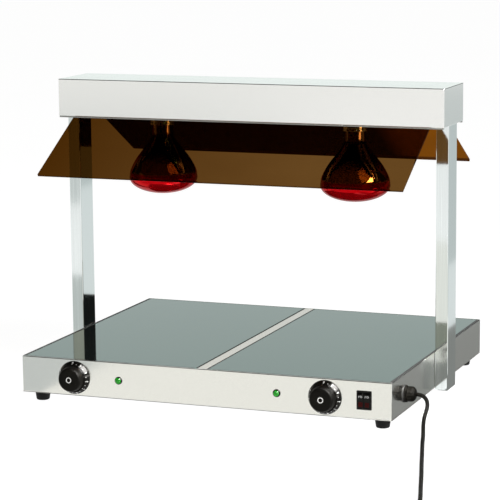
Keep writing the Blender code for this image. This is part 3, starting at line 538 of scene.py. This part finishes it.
# The same points as the CAD lead's route, with y counted from the middle of the base
CORD_ROUTE = [
    (0.3712, -0.2120, 0.0505),
    (0.3792, -0.2136, 0.0495),
    (0.3870, -0.2182, 0.0459),
    (0.3921, -0.2252, 0.0403),
    (0.3942, -0.2334, 0.0338),
    (0.3941, -0.2412, 0.0272),
    (0.3941, -0.2490, 0.0208),
    (0.3951, -0.2570, 0.0155),
    (0.3970, -0.2654, 0.0114),
    (0.3995, -0.2745, 0.0082),
    (0.4022, -0.2840, 0.0058),
    (0.4050, -0.2938, 0.0043),
    (0.4080, -0.3040, CORD_RADIUS),
    (0.4152, -0.3306, CORD_RADIUS),
    (0.4210, -0.3520, CORD_RADIUS),
    (0.4298, -0.3830, CORD_RADIUS),
    (0.4435, -0.4310, CORD_RADIUS),
    (0.4590, -0.4860, CORD_RADIUS),
    (0.4752, -0.5420, CORD_RADIUS),
    (0.4940, -0.6090, CORD_RADIUS),
    (0.5110, -0.6690, CORD_RADIUS),
    (0.5230, -0.7170, CORD_RADIUS),
    (0.5328, -0.7592, CORD_RADIUS),
]
COIL_MIDDLE = middle_of("cord_coil")
COIL_OUTER = 0.0421         # radius of the outer turns' centreline
COIL_INNER = 0.0349
COIL_TURNS = 4.294
COIL_START = math.radians(15.93)
LAYER = 0.0070              # height of one layer of turns
# Turns over which the lead moves: (from, to, change of radius, change of height)
COIL_MOVES = [
    (0.82, 1.00, COIL_INNER - COIL_OUTER, 0),
    (1.66, 1.82, 0, LAYER),
    (2.48, 2.65, COIL_OUTER - COIL_INNER, 0),
    (3.30, 3.47, 0, LAYER),
]
PLUG_SEAT = Vector((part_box("plug_body")[1].x, *middle_of("plug_body").yz))


def coil_point(turn):
    """Centreline of the coil after a number of turns, clockwise from above."""
    radius = COIL_OUTER
    height = CORD_RADIUS
    for start, end, outwards, upwards in COIL_MOVES:
        share = min(max((turn - start) / (end - start), 0), 1)
        ease = share * share * (3 - 2 * share)
        radius += outwards * ease
        height += upwards * ease
    angle = COIL_START - 2 * math.pi * turn
    across = radius * math.cos(angle)
    along = radius * math.sin(angle)
    return Vector((COIL_MIDDLE.x + across, COIL_MIDDLE.y + along, height))


def cord_points():
    """Whole centreline of the lead: the free run, the coil and the tail into the plug."""
    route = [Vector((x, y + MIDDLE_Y, z)) for x, y, z in CORD_ROUTE]
    points = [CORD_EXIT - Vector((INTO_GLAND, 0, 0)), CORD_EXIT] + flowing(route + [coil_point(0)], 3)
    per_turn = 40
    count = round(COIL_TURNS * per_turn)
    points += [coil_point(COIL_TURNS * number / count) for number in range(1, count + 1)]
    last = points[-1]
    tail = [last.lerp(PLUG_SEAT, share) for share in (0.25, 0.5, 0.75)]
    return points + tail + [PLUG_SEAT - Vector((INTO_PLUG, 0, 0))]


def add_lead(name, points, radius, resolution=6):
    """Round lead of black PVC along a list of points, as one open spline."""
    curve = bpy.data.curves.new(name, "CURVE")
    curve.dimensions = "3D"
    curve.bevel_depth = radius
    curve.bevel_resolution = resolution
    curve.use_fill_caps = True
    spline = curve.splines.new("POLY")
    spline.points.add(len(points) - 1)
    for knot, point in zip(spline.points, points):
        knot.co = (*point, 1)
    curve.materials.append(SLOT_FINISH["black_pvc"])
    lead = in_scene(name, curve)
    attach(lead, ROOT)
    return lead


def make_tie():
    """Wire tie round one side of the coil."""
    angle = math.radians(205)
    outwards = Vector((math.cos(angle), math.sin(angle), 0))
    up = Vector((0, 0, 1))
    wire = 0.0009               # half the wire's thickness
    half_wide = (COIL_OUTER - COIL_INNER) / 2 + CORD_RADIUS + wire
    top = CORD_RADIUS + LAYER * 2 + CORD_RADIUS + wire
    centre = Vector((COIL_MIDDLE.x, COIL_MIDDLE.y, 0)) + outwards * (COIL_OUTER + COIL_INNER) / 2
    corners = [(0, wire), (-half_wide, wire), (-half_wide, top), (0, top), (half_wide, top),
               (half_wide, wire), (0, wire)]
    loop = [centre + outwards * point.x + up * point.y for point in rounded(corners, 0.004, 5)]
    return add_lead("cord_tie", loop, wire, 3)


EARTH_CLIP = (0.0095, 0.0070, 0.0008)
RELIEF_RIB = 0.0012         # width of a rib or groove of the plug's strain relief
RELIEF_DEPTH = 0.0008


def make_plug():
    """Moulded two-pin plug with a ribbed strain relief, and its earth clips."""
    nose = [(0, 0), (0.0055, 0), (0.0070, 0.0120), (0.0125, 0.0170), (0.0140, 0.0300), (0.0185, 0.0350),
            (0.0185, 0.0440), (0.0150, 0.0440), (0.0150, 0.0428), (0, 0.0428)]
    outline = rounded(nose, 0.0016)
    ribs = []
    for point in outline:
        in_relief = 0.0015 < point.y < 0.0115 and point.x > 0.004
        in_groove = in_relief and round(point.y / RELIEF_RIB) % 2
        ribs.append(Vector((point.x - (RELIEF_DEPTH if in_groove else 0), point.y)))
    body = add_piece("plug_shell", turned(ribs), "black_pvc", ROOT, FACE_LEFT, PLUG_SEAT, ("plug_body",))
    parts = [body]
    for name in ("front", "rear"):
        node = "plug_pin_" + name
        low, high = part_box(node)
        seat = Vector((high.x, *middle_of(node).yz))
        length = high.x - low.x
        radius = (high.y - low.y) / 2
        pin = [(0, -0.0010), (radius, -0.0010), (radius, length - 0.0012), (radius * 0.55, length),
               (0, length)]
        contact = turned(rounded(pin, 0.0009), COARSE)
        parts.append(add_piece("plug_contact_" + name, contact, "bright_steel", ROOT, FACE_LEFT, seat,
                               (node,)))
    for name, side in (("upper", 1), ("lower", -1)):
        strip = bmesh.new()
        bmesh.ops.create_cube(strip, size=1)
        bmesh.ops.scale(strip, verts=strip.verts, vec=EARTH_CLIP)
        place = PLUG_SEAT + Vector((-0.0388, 0, side * 0.0176))
        clip = add_piece("plug_earth_" + name, strip, "bright_steel", place=place)
        soften(clip, 0.0003, 2)
        parts.append(clip)
    return parts


def make_gland():
    """Cable gland: washer, hexagon and a ribbed dome nut that tapers down to the lead."""
    seat = Vector((BASE_HIGH.x, CORD_EXIT.y, CORD_EXIT.z))
    bore = CORD_RADIUS + 0.0001
    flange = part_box("gland_body")[1].x - BASE_HIGH.x
    washer = [(bore, 0.0003), (0.0155, 0.0003), (0.0155, 0.0013), (bore, 0.0013)]
    add_piece("gland_washer", turned(washer), "black_pvc", ROOT, FACE_RIGHT, seat, finish=SEAL)
    hexagon = [(bore, 0.0014), (0.0154, 0.0014), (0.0154, flange), (bore, flange)]
    body = add_piece("gland_hexagon", turned(hexagon, 6), "black_pvc", ROOT, FACE_RIGHT, seat,
                     ("gland_body",), smooth=20)
    soften(body, 0.0006)
    mouth = GLAND_HIGH.x - BASE_HIGH.x
    start = GLAND_LOW.x - BASE_HIGH.x
    dome = [(0, start), (0.0135, start), (0.0135, start + 0.0080), (0.0126, start + 0.0110),
            (0.0092, mouth - 0.0012), (0.0062, mouth), (0, mouth)]
    shape = turned(rounded(dome, 0.0022, 5))
    ribs = 16
    rib_share = 0.035           # how much of the radius a groove takes
    smooth_radius = 0.0100      # inside this the dome has no ribs
    for vertex in shape.verts:
        radius = math.hypot(vertex.co.x, vertex.co.y)
        if radius > smooth_radius:
            angle = math.atan2(vertex.co.y, vertex.co.x)
            inwards = 1 - rib_share * wave(ribs * angle)
            vertex.co.x *= inwards
            vertex.co.y *= inwards
    nut = add_piece("gland_dome", shape, "black_pvc", ROOT, FACE_RIGHT, seat, ("gland_nut",))
    return [body, nut]


def make_mains_lead():
    """The free lead and all that goes with it."""
    points = cord_points()
    lead = add_lead("mains_lead", points, CORD_RADIUS)
    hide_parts("mains_cord", "cord_coil", "cord_tail")
    pieces = make_plug() + make_gland() + [make_tie()]


# ---------------------------------------------------------------- controls

SKIRT_OUTER = Vector((0.0300, 0.0022))      # (radius, height) where the dial's cone starts
SKIRT_INNER = Vector((0.0256, 0.0090))
DIAL_STEP = math.radians(33)                # between two numbers
DIAL_HEIGHT = 0.0036                        # of a number


def on_skirt(angle, across, inwards):
    """Point just above the dial's cone, clockwise from the top as seen from the front."""
    slope = (SKIRT_INNER - SKIRT_OUTER).normalized()
    spot = SKIRT_OUTER + slope * inwards + Vector((slope.y, -slope.x)) * PROUD
    turn = angle + across / spot.x
    return spot.x * math.sin(turn), spot.x * math.cos(turn), spot.y


def make_dial_print(name, seat, body):
    """Numbers 0 to 9 round the skirt, a dot inside each and one between neighbours."""
    shape = bmesh.new()
    number_line = 0.0041        # how far inwards from the dial's rim
    inner_line = 0.0074
    between_line = 0.0062
    dot = 0.00065
    sides = 12
    for step in range(10):
        angle = step * DIAL_STEP
        points, faces = glyph_faces(str((10 - step) % 10), DIAL_HEIGHT)
        corners = [shape.verts.new(on_skirt(angle, point.x, number_line - point.y)) for point in points]
        for face in faces:
            shape.faces.new([corners[index] for index in face])
        spots = [(angle, inner_line)]
        if step < 9:
            spots.append((angle + DIAL_STEP / 2, between_line))
        for place, line in spots:
            turns = [2 * math.pi * side / sides for side in range(sides)]
            add_print(shape, [on_skirt(place, dot * math.sin(turn), line - dot * math.cos(turn))
                              for turn in turns])
    add_piece("dial_print_" + name, shape, "black_plastic", body, FACE_FRONT, seat, finish=PRINT)


def make_knob(name):
    """Skirted thermostat knob, its cap with a plain ring, and the printed dial."""
    body = name + "_knob"
    seat = seat_on_front("knob_" + name)
    proud = FRONT_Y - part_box("knob_" + name)[0].y
    recess = proud - 0.0020
    profile = [(0, 0.0190), (0.0033, 0.0190), (0.0033, 0.0050), (0.0085, 0.0050), (0.0085, 0.0008),
               (SKIRT_OUTER.x, 0.0008), SKIRT_OUTER, SKIRT_INNER, (0.0246, 0.0096), (0.0238, 0.0090),
               (0.0232, 0.0100), (0.0216, proud - 0.0042), (0.0202, proud - 0.0016),
               (0.0172, proud - 0.0004), (0.0120, proud), (0.0086, proud - 0.0004),
               (0.0064, proud - 0.0007), (0.0062, recess), (0, recess)]
    add_piece("thermostat_knob_" + name, turned(rounded(profile, 0.0009)), "black_plastic", body,
              FACE_FRONT, seat, ("knob_" + name,), KNOB_PLASTIC)
    front = proud - 0.0004
    cap = [(0, recess + 0.0003), (0.0058, recess + 0.0003), (0.0058, front - 0.0004), (0.0054, front),
           (0, front)]
    add_piece("thermostat_cap_" + name, turned(rounded(cap, 0.0003), COARSE), "black_plastic", body,
              FACE_FRONT, seat, ("knob_cap_" + name,), KNOB_PLASTIC)
    ring = [(0.0038, front), (0.0051, front), (0.0051, front + PROUD), (0.0038, front + PROUD)]
    add_piece("cap_ring_" + name, turned(ring, COARSE), "black_plastic", body, FACE_FRONT, seat,
              finish=PRINT)
    make_dial_print(name, seat, body)


def make_pilot(name):
    """Indicator: a turned bezel and a ribbed domed lens."""
    seat = seat_on_front("pilot_bezel_" + name)
    bezel = [(0.0042, 0.0020), (0.0042, -0.0180), (0.0052, -0.0180), (0.0052, 0.0003), (0.0070, 0.0003),
             (0.0070, 0.0012), (0.0064, 0.0020)]
    add_piece("pilot_ring_" + name, turned(rounded(bezel, 0.0004), COARSE), "black_plastic", ROOT,
              FACE_FRONT, seat, ("pilot_bezel_" + name,))
    dome = [(0, -0.0100), (0.0039, -0.0100), (0.0039, 0.0023), (0.0053, 0.0023), (0.0053, 0.0034),
            (0.0045, 0.0048), (0.0025, 0.0058), (0, 0.0060)]
    shape = turned(rounded(dome, 0.0008), COARSE)
    ribs = 24
    groove = 0.00018
    ribbed_from = 0.0030        # the ribs start this high and this far from the middle
    for vertex in shape.verts:
        radius = math.hypot(vertex.co.x, vertex.co.y)
        if vertex.co.z > ribbed_from and radius > ribbed_from:
            angle = math.atan2(vertex.co.y, vertex.co.x)
            vertex.co.z -= groove * wave(ribs * angle)
    add_piece("pilot_dome_" + name, shape, "green_lens", ROOT, FACE_FRONT, seat, ("pilot_lens_" + name,))


ROCKER_TILT = math.radians(9)
ROCKER_FACE = 0.0045        # from the pivot to the crease between a rocker's two faces
ROCKER_HALF = 0.0122


def joint_place(name):
    """Place of a joint's axis."""
    joint = [item for item in frame["joints"] if item["name"] == name][0]
    return Vector(joint["pos_m"])


def on_rocker(across, along, proud):
    """Point on a rocker's front faces, counted from the crease, before it is tilted."""
    lean = -abs(along) * math.tan(ROCKER_TILT)
    return across, -ROCKER_FACE + lean - proud, along


def make_rocker(name):
    """Rocker with dished faces, its two marks and a dark red window."""
    node = "rocker_" + name
    body = name + "_rocker"
    low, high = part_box(node)
    pivot = joint_place(name + "_rocker_tilt")
    tilt = Matrix.Rotation(ROCKER_TILT, 4, "X")
    end = ROCKER_FACE + ROCKER_HALF * math.tan(ROCKER_TILT)
    dish = 0.0003               # how deep the middle of each face lies
    middle = (ROCKER_FACE + end) / 2 - dish
    outline = [(-end, ROCKER_HALF), (-middle, ROCKER_HALF / 2), (-ROCKER_FACE, 0),
               (-middle, -ROCKER_HALF / 2), (-end, -ROCKER_HALF), (0.0050 - end, -ROCKER_HALF),
               (0.0036, -0.0040), (0.0036, 0.0040), (0.0050 - end, ROCKER_HALF), (-end, ROCKER_HALF)]
    softened = rounded(outline, 0.0010)[:-1]
    shape = drawn_out(softened, (high.x - low.x) / 2)
    rocker = add_piece("switch_" + node, shape, "black_plastic", body, tilt, pivot, (node,), smooth=30)
    soften(rocker, 0.0003, 2)

    marks = bmesh.new()
    mark_line = 0.0080
    mark_half = 0.0021
    bar_across = -0.0023
    bar_half = 0.0005           # half the bar's width
    lean = 0.0008               # how far its ends lean sideways
    ring_across = 0.0020
    ring_inner = 0.0012
    bar = [(-bar_half - lean, -mark_half), (bar_half - lean, -mark_half), (bar_half + lean, mark_half),
           (-bar_half + lean, mark_half)]
    add_print(marks, [on_rocker(bar_across + x, mark_line + z, PROUD) for x, z in bar])
    sides = 20
    for side in range(sides):
        start, stop = [2 * math.pi * (side + step) / sides for step in (0, 1)]
        corners = [(ring_inner, start), (mark_half, start), (mark_half, stop), (ring_inner, stop)]
        ring = [(ring_across + radius * math.sin(turn), mark_line + radius * math.cos(turn))
                for radius, turn in corners]
        add_print(marks, [on_rocker(x, z, PROUD) for x, z in ring])
    add_piece("rocker_marks_" + name, marks, "black_plastic", body, tilt, pivot, finish=GREY_PRINT)

    window = bmesh.new()
    for along in (-0.0025, -0.0108):
        for across in (-0.0037, 0.0037):
            for proud in (0.0003, -0.0010):
                window.verts.new(on_rocker(across, along, proud))
    bmesh.ops.convex_hull(window, input=window.verts)
    pane = add_piece("rocker_window_" + name, window, "black_plastic", body, tilt, pivot,
                     finish=RED_WINDOW)
    soften(pane, 0.0003, 2)


# ---------------------------------------------------------------- lamps

LAMP_RADIUS = 0.0640
LAMP_BOWL = 0.0300
LAMP_SHOULDER = [(LAMP_RADIUS, LAMP_BOWL), (0.0622, 0.0415), (0.0576, 0.0525), (0.0513, 0.0637),
                 (0.0433, 0.0749), (0.0345, 0.0855), (0.0268, 0.0955), (0.0214, 0.1035),
                 (0.0193, 0.1095), (0.0187, 0.1290), (0.0180, 0.1370), (0.0150, 0.1415),
                 (0.0118, 0.1445), (0.0118, 0.1500)]
THREAD_PITCH = 0.00363
THREAD_DEPTH = 0.0009


def make_lamp(name):
    """Reflector lamp: blown glass, and a rolled thread on its cap."""
    body = name + "_lamp"
    low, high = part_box("lamp_glass_" + name)
    seat = Vector(((low.x + high.x) / 2, MIDDLE_Y, low.z))
    bowl_parts = 20
    outline = []
    for part in range(bowl_parts):
        turn = math.pi / 2 * part / bowl_parts
        outline.append(Vector((LAMP_RADIUS * math.sin(turn), LAMP_BOWL * (1 - math.cos(turn)))))
    outline += flowing(LAMP_SHOULDER, 6) + [Vector((0, LAMP_SHOULDER[-1][1]))]
    add_piece("reflector_lamp_" + name, turned(outline), "ruby_glass", body, UPRIGHT, seat,
              ("lamp_glass_" + name,), smooth=60)

    cap_low, cap_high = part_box("lamp_cap_" + name)
    radius = (cap_high.x - cap_low.x) / 2
    length = cap_high.z - cap_low.z
    rows = 84
    tip = 0.0045                # the unthreaded end
    thread = [Vector((0, 0)), Vector((radius - THREAD_DEPTH, 0))]
    for row in range(rows + 1):
        height = (length - tip) * row / rows
        crest = wave(2 * math.pi * height / THREAD_PITCH)
        thread.append(Vector((radius - THREAD_DEPTH * (1 - crest), height)))
    thread += [Vector((0.0095, length - 0.0012)), Vector((0.0070, length)), Vector((0, length))]
    seat = Vector((seat.x, MIDDLE_Y, cap_low.z))
    add_piece("lamp_thread_" + name, turned(thread, COARSE), "brass", body, UPRIGHT, seat,
              ("lamp_cap_" + name,))


def make_holder(name):
    """Turned lamp holder with a beaded mouth, a flange and a closed top."""
    low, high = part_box("lamp_holder_" + name)
    height = high.z - low.z
    seat = Vector(((low.x + high.x) / 2, MIDDLE_Y, low.z))
    plate_thickness = 0.0015
    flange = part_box("canopy_underplate")[0].z + plate_thickness - low.z
    profile = [(0, height - 0.0060), (0.0137, height - 0.0060), (0.0137, 0.0222), (0.0198, 0.0182),
               (0.0198, 0), (0.0219, 0), (0.0225, 0.0006), (0.0225, 0.0030), (0.0219, 0.0036),
               (0.0219, 0.0058), (0.0225, 0.0064), (0.0225, flange), (0.0290, flange),
               (0.0290, flange + 0.0025), (0.0215, flange + 0.0025), (0.0215, height - 0.0020),
               (0.0195, height), (0, height)]
    add_piece("holder_shell_" + name, turned(rounded(profile, 0.0007)), "chrome", ROOT, UPRIGHT, seat,
              ("lamp_holder_" + name,))


# ---------------------------------------------------------------- feet and screws

def make_foot(node):
    """Tapered rubber foot with moulded rings and a deep recess for its screw."""
    low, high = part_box(node)
    seat = Vector((*middle_of(node).xy, low.z))
    top = high.z - low.z
    profile = [(0, 0.0120), (0.0050, 0.0120), (0.0050, 0.0010), (0.0060, 0), (0.0108, 0),
               (0.0120, 0.0014), (0.0134, top * 0.55), (0.0131, top * 0.60), (0.0138, top * 0.66),
               (0.0145, top - 0.0012), (0.0140, top), (0, top)]
    add_piece("rubber_" + node, turned(rounded(profile, 0.0008), COARSE), "rubber", ROOT, UPRIGHT, seat,
              (node,))


def add_screws(name, places, seat):
    """Button-head screws with a socket each, as one piece."""
    head = rounded([(0.0034, 0), (0.0034, 0.0007), (0.0026, 0.0017), (0.0014, 0.0020), (0.0014, 0.0008),
                    (0, 0.0008)], 0.0004)
    shape = bmesh.new()
    for place in places:
        one = turned([Vector((0, 0))] + head, 24)
        one.transform(Matrix.Translation(place) @ seat)
        mesh = mesh_of("screw", one)
        shape.from_mesh(mesh)
        bpy.data.meshes.remove(mesh)
    add_piece(name, shape, "bright_steel")


def make_screws():
    """Screws of the canopy's back and of the bottom plate."""
    height = (CANOPY_LOW.z + CANOPY_HIGH.z) / 2
    span = CANOPY_HIGH.x - CANOPY_LOW.x
    face_back = Matrix.Rotation(math.radians(-90), 4, "X")
    places = [(span * share, CANOPY_HIGH.y, height) for share in (-0.46, -0.16, 0.16, 0.46)]
    add_screws("canopy_screws", places, face_back)
    plate_low, plate_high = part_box("bottom_plate")
    inset = 0.0120
    face_down = Matrix.Rotation(math.radians(180), 4, "X")
    places = []
    for x in (plate_low.x + inset, 0, plate_high.x - inset):
        for y in (plate_low.y + inset, plate_high.y - inset):
            places.append((x, y, plate_low.z))
    add_screws("bottom_screws", places, face_down)


def add_bars(name, bars, slot, finish=None):
    """Straight bars, each given by its two opposite corners, as one piece."""
    shape = bmesh.new()
    for low, high in bars:
        low = Vector(low)
        high = Vector(high)
        made = bmesh.ops.create_cube(shape, size=1.0)["verts"]
        bmesh.ops.scale(shape, verts=made, vec=high - low)
        bmesh.ops.translate(shape, verts=made, vec=(low + high) / 2)
    soften(add_piece(name, shape, slot, finish=finish), 0.0003, 2)


def make_hems():
    """Folded hems under the base's walls and along the canopy's lower long edges, in steel darkened with painted
    shade where the sheet turns under.
    """
    drop = 0.0012               # how far the base's hem hangs down
    wall = 0.0011               # thickness of a hem
    left, right = BASE_LOW.x, BASE_HIGH.x
    front, back = BASE_LOW.y, BASE_HIGH.y
    top, bottom = BASE_LOW.z, BASE_LOW.z - drop
    add_bars("base_hem", [((left, front, bottom), (right, front + wall, top)),
                          ((left, back - wall, bottom), (right, back, top)),
                          ((left, front + wall, bottom), (left + wall, back - wall, top)),
                          ((right - wall, front + wall, bottom), (right, back - wall, top))],
             "brushed_steel", HEM_PAINTED_SHADE)
    step = 0.0009               # how far the canopy's hem stands back
    top, bottom = CANOPY_LOW.z, CANOPY_LOW.z - 2 * drop
    bars = [((CANOPY_LOW.x + step, y - wall, bottom), (CANOPY_HIGH.x - step, y + wall, top))
            for y in (CANOPY_LOW.y + step + wall, CANOPY_HIGH.y - step - wall)]
    add_bars("canopy_hem", bars, "brushed_steel", HEM_PAINTED_SHADE)


def make_beads():
    """Sealing beads along both sides of the centre strip and the plates' outer edges."""
    strip_low, strip_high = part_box("centre_strip")
    half = 0.0008
    raised = 0.0002             # how far a bead stands above the steel
    bottom = strip_high.z - half
    front = strip_low.y + half
    back = strip_high.y - half
    beads = [((x - half, front, bottom), (x + half, back, strip_high.z + raised))
             for x in (strip_low.x, strip_high.x)]
    add_bars("strip_beads", beads, "silicone_seal")
    step = 0.0004               # how far the outer beads end short of the base's sides
    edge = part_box("glass_plate_right")[1].x
    beads = []
    for side in SIDES.values():
        ends = sorted((side * edge, side * (BASE_HIGH.x - step)))
        beads.append(((ends[0], front, bottom), (ends[1], back, BASE_HIGH.z + raised)))
    add_bars("plate_edge_beads", beads, "silicone_seal")


# ---------------------------------------------------------------- studio

def emitter(name, colour, strength):
    """Glowing material of a reflection card."""
    finish = Finish(name, Specular_IOR_Level=0.0, Emission_Color=(*colour, 1), Emission_Strength=strength)
    finish.look((0, 0, 0), 1.0)
    return finish.material


def looking_along(direction):
    """Turn that makes +Z look along a direction."""
    return Vector(direction).to_track_quat("Z", "Y").to_matrix().to_4x4()


def add_sheet(name, size, place, facing, material):
    """Flat studio sheet, its face turned towards a direction."""
    shape = bmesh.new()
    bmesh.ops.create_grid(shape, x_segments=1, y_segments=1, size=0.5)
    bmesh.ops.scale(shape, verts=shape.verts, vec=(size[0], size[1], 1))
    mesh = mesh_of(name, shape)
    mesh.materials.append(material)
    sheet = in_scene(name, mesh)
    sheet.matrix_world = Matrix.Translation(place) @ looking_along(facing)
    return sheet


def add_card(name, size, place, facing, strength, colour):
    """Sheet that only shows in reflections."""
    card = add_sheet(name, size, place, facing, emitter(name, colour, strength))
    card.visible_camera = False
    card.visible_diffuse = False
    card.visible_transmission = False
    card.visible_volume_scatter = False
    card.visible_shadow = False


def make_floor():
    """Large pale floor, bright enough to carry hardly any shadow."""
    finish = Finish("pale_floor", Specular_IOR_Level=0.0, Emission_Strength=0.96,
                    Emission_Color=(1, 1, 1, 1))
    cloud = finish.ranged(finish.noise(1.5, 2.0), 0.0, 1.0)
    finish.look(finish.mixed(cloud, (0.24, 0.24, 0.24), (0.26, 0.26, 0.26)), 0.9)
    add_sheet("floor", (60, 60), (0, 0, -0.0002), (0, 0, 1), finish.material)


WORLD_DIM = (0.02, 0.02, 0.02)
WORLD_BEHIND = (0.87, 0.94, 0.92)
WORLD_FRONT = (0.82, 0.77, 0.66)


def make_world():
    """Studio that reflections show: bright low behind on the left, dimmer and warmer in front.

    It is dark elsewhere. The camera, and rays that come through the sheets, see plain white.
    """
    world = bpy.data.worlds.new("studio")
    world.use_nodes = True
    bpy.context.scene.world = world
    nodes = Nodes(world.node_tree)
    direction = nodes.node("ShaderNodeTexCoord").outputs["Generated"]

    def fade(axis, nothing, full):
        """0 where the direction's part is nothing, 1 where it is full."""
        part = nodes.part(direction, axis)
        return nodes.ranged(part, 0.0, 1.0, nothing, full, interpolation_type="SMOOTHSTEP")

    behind = nodes.maths("MULTIPLY", fade("Y", 0.0, 0.5), fade("X", 0.25, 0.0))
    behind = nodes.maths("MULTIPLY", behind, fade("Z", 0.60, 0.30))
    front = nodes.maths("MULTIPLY", fade("Y", -0.2, -0.6), fade("Z", 0.45, 0.20))
    surroundings = nodes.mixed(front, nodes.mixed(behind, WORLD_DIM, WORLD_BEHIND), WORLD_FRONT)
    paths = nodes.node("ShaderNodeLightPath").outputs
    seen = nodes.maths("MAXIMUM", paths["Is Camera Ray"], paths["Is Transmission Ray"])
    background = nodes.tree.nodes["Background"].inputs
    nodes.feed(background["Color"], nodes.mixed(seen, surroundings, (1, 1, 1)))
    nodes.feed(background["Strength"], 1.0)


KEY_DISTANCE = 3.2          # from the origin, like the cards'
CARD_DISTANCE = {"softbox": 2.6, "side_light": 2.2}
LOW_CARD = 0.0006           # heights of the cards that lie on the floor
HIGH_CARD = 0.0012          # of those that overlap others
FLAGS_BACK_Y = 3.35         # middle of the two long flags that reach far behind

# Cards on the floor: name, size, middle, height, strength and tint. They lie where the steel
# mirrors the floor, and make it a little darker there.
FLOOR_CARDS = [
    ("near_flag", (0.19, 1.1), (BASE_HIGH.x + 0.096, 0.25), HIGH_CARD, 0.26, (0.97, 1.0, 0.96)),
    ("middle_flag", (1.0, 6.0), (BASE_HIGH.x - 0.10, FLAGS_BACK_Y), LOW_CARD, 0.84, (0.95, 1.0, 1.0)),
    ("far_flag", (3.0, 6.0), (BASE_HIGH.x + 1.90, FLAGS_BACK_Y), LOW_CARD, 0.62, (0.92, 1.0, 1.0)),
    ("front_flag", (1.8, 1.4), (0.15, FRONT_Y - 0.70), LOW_CARD, 0.94, (1.0, 0.995, 0.94)),
    ("left_flag", (0.52, 0.60), (BASE_LOW.x - 0.26, FRONT_Y - 0.36), HIGH_CARD, 0.62, (0.95, 1.0, 0.98)),
    ("canopy_flag", (1.6, 2.4), (-2.1, -3.2), LOW_CARD, 0.72, (0.96, 1.0, 0.99)),
]


def make_key_light():
    """Large soft lamp, high up in front on the right."""
    data = bpy.data.lights.new("key", "AREA")
    data.shape = "RECTANGLE"
    data.size = 1.6
    data.size_y = 1.6
    data.energy = 75
    key = in_scene("key", data)
    towards = Vector((0.62, -0.35, 0.70)).normalized()
    key.matrix_world = Matrix.Translation(towards * KEY_DISTANCE) @ looking_along(towards)
    key.visible_camera = False


def make_cards():
    """The sheets that the polished parts mirror."""
    above = Vector((0.60, -0.34, 0.76)).normalized()
    add_card("softbox", (2.1, 1.8), above * CARD_DISTANCE["softbox"], -above, 45.0, (1.0, 0.98, 0.95))
    sideways = Vector((0.96, -0.24, 0.05)).normalized()
    add_card("side_light", (1.1, 0.5), sideways * CARD_DISTANCE["side_light"], -sideways, 17.0,
             (1.0, 0.96, 0.92))
    for name, size, middle, height, strength, tint in FLOOR_CARDS:
        add_card(name, size, (*middle, height), (0, 0, 1), strength, tint)


finish_cad_nodes()
make_camera()
make_mains_lead()
for side_name in SIDES:
    make_knob(side_name)
    make_pilot(side_name)
    make_rocker(side_name)
    make_lamp(side_name)
    make_holder(side_name)
for foot_node in ("foot_front_left", "foot_front_right", "foot_rear_left", "foot_rear_right"):
    make_foot(foot_node)
make_screws()
make_hems()
make_beads()
make_floor()
make_world()
make_key_light()
make_cards()
bpy.context.scene.view_settings.view_transform = "Standard"
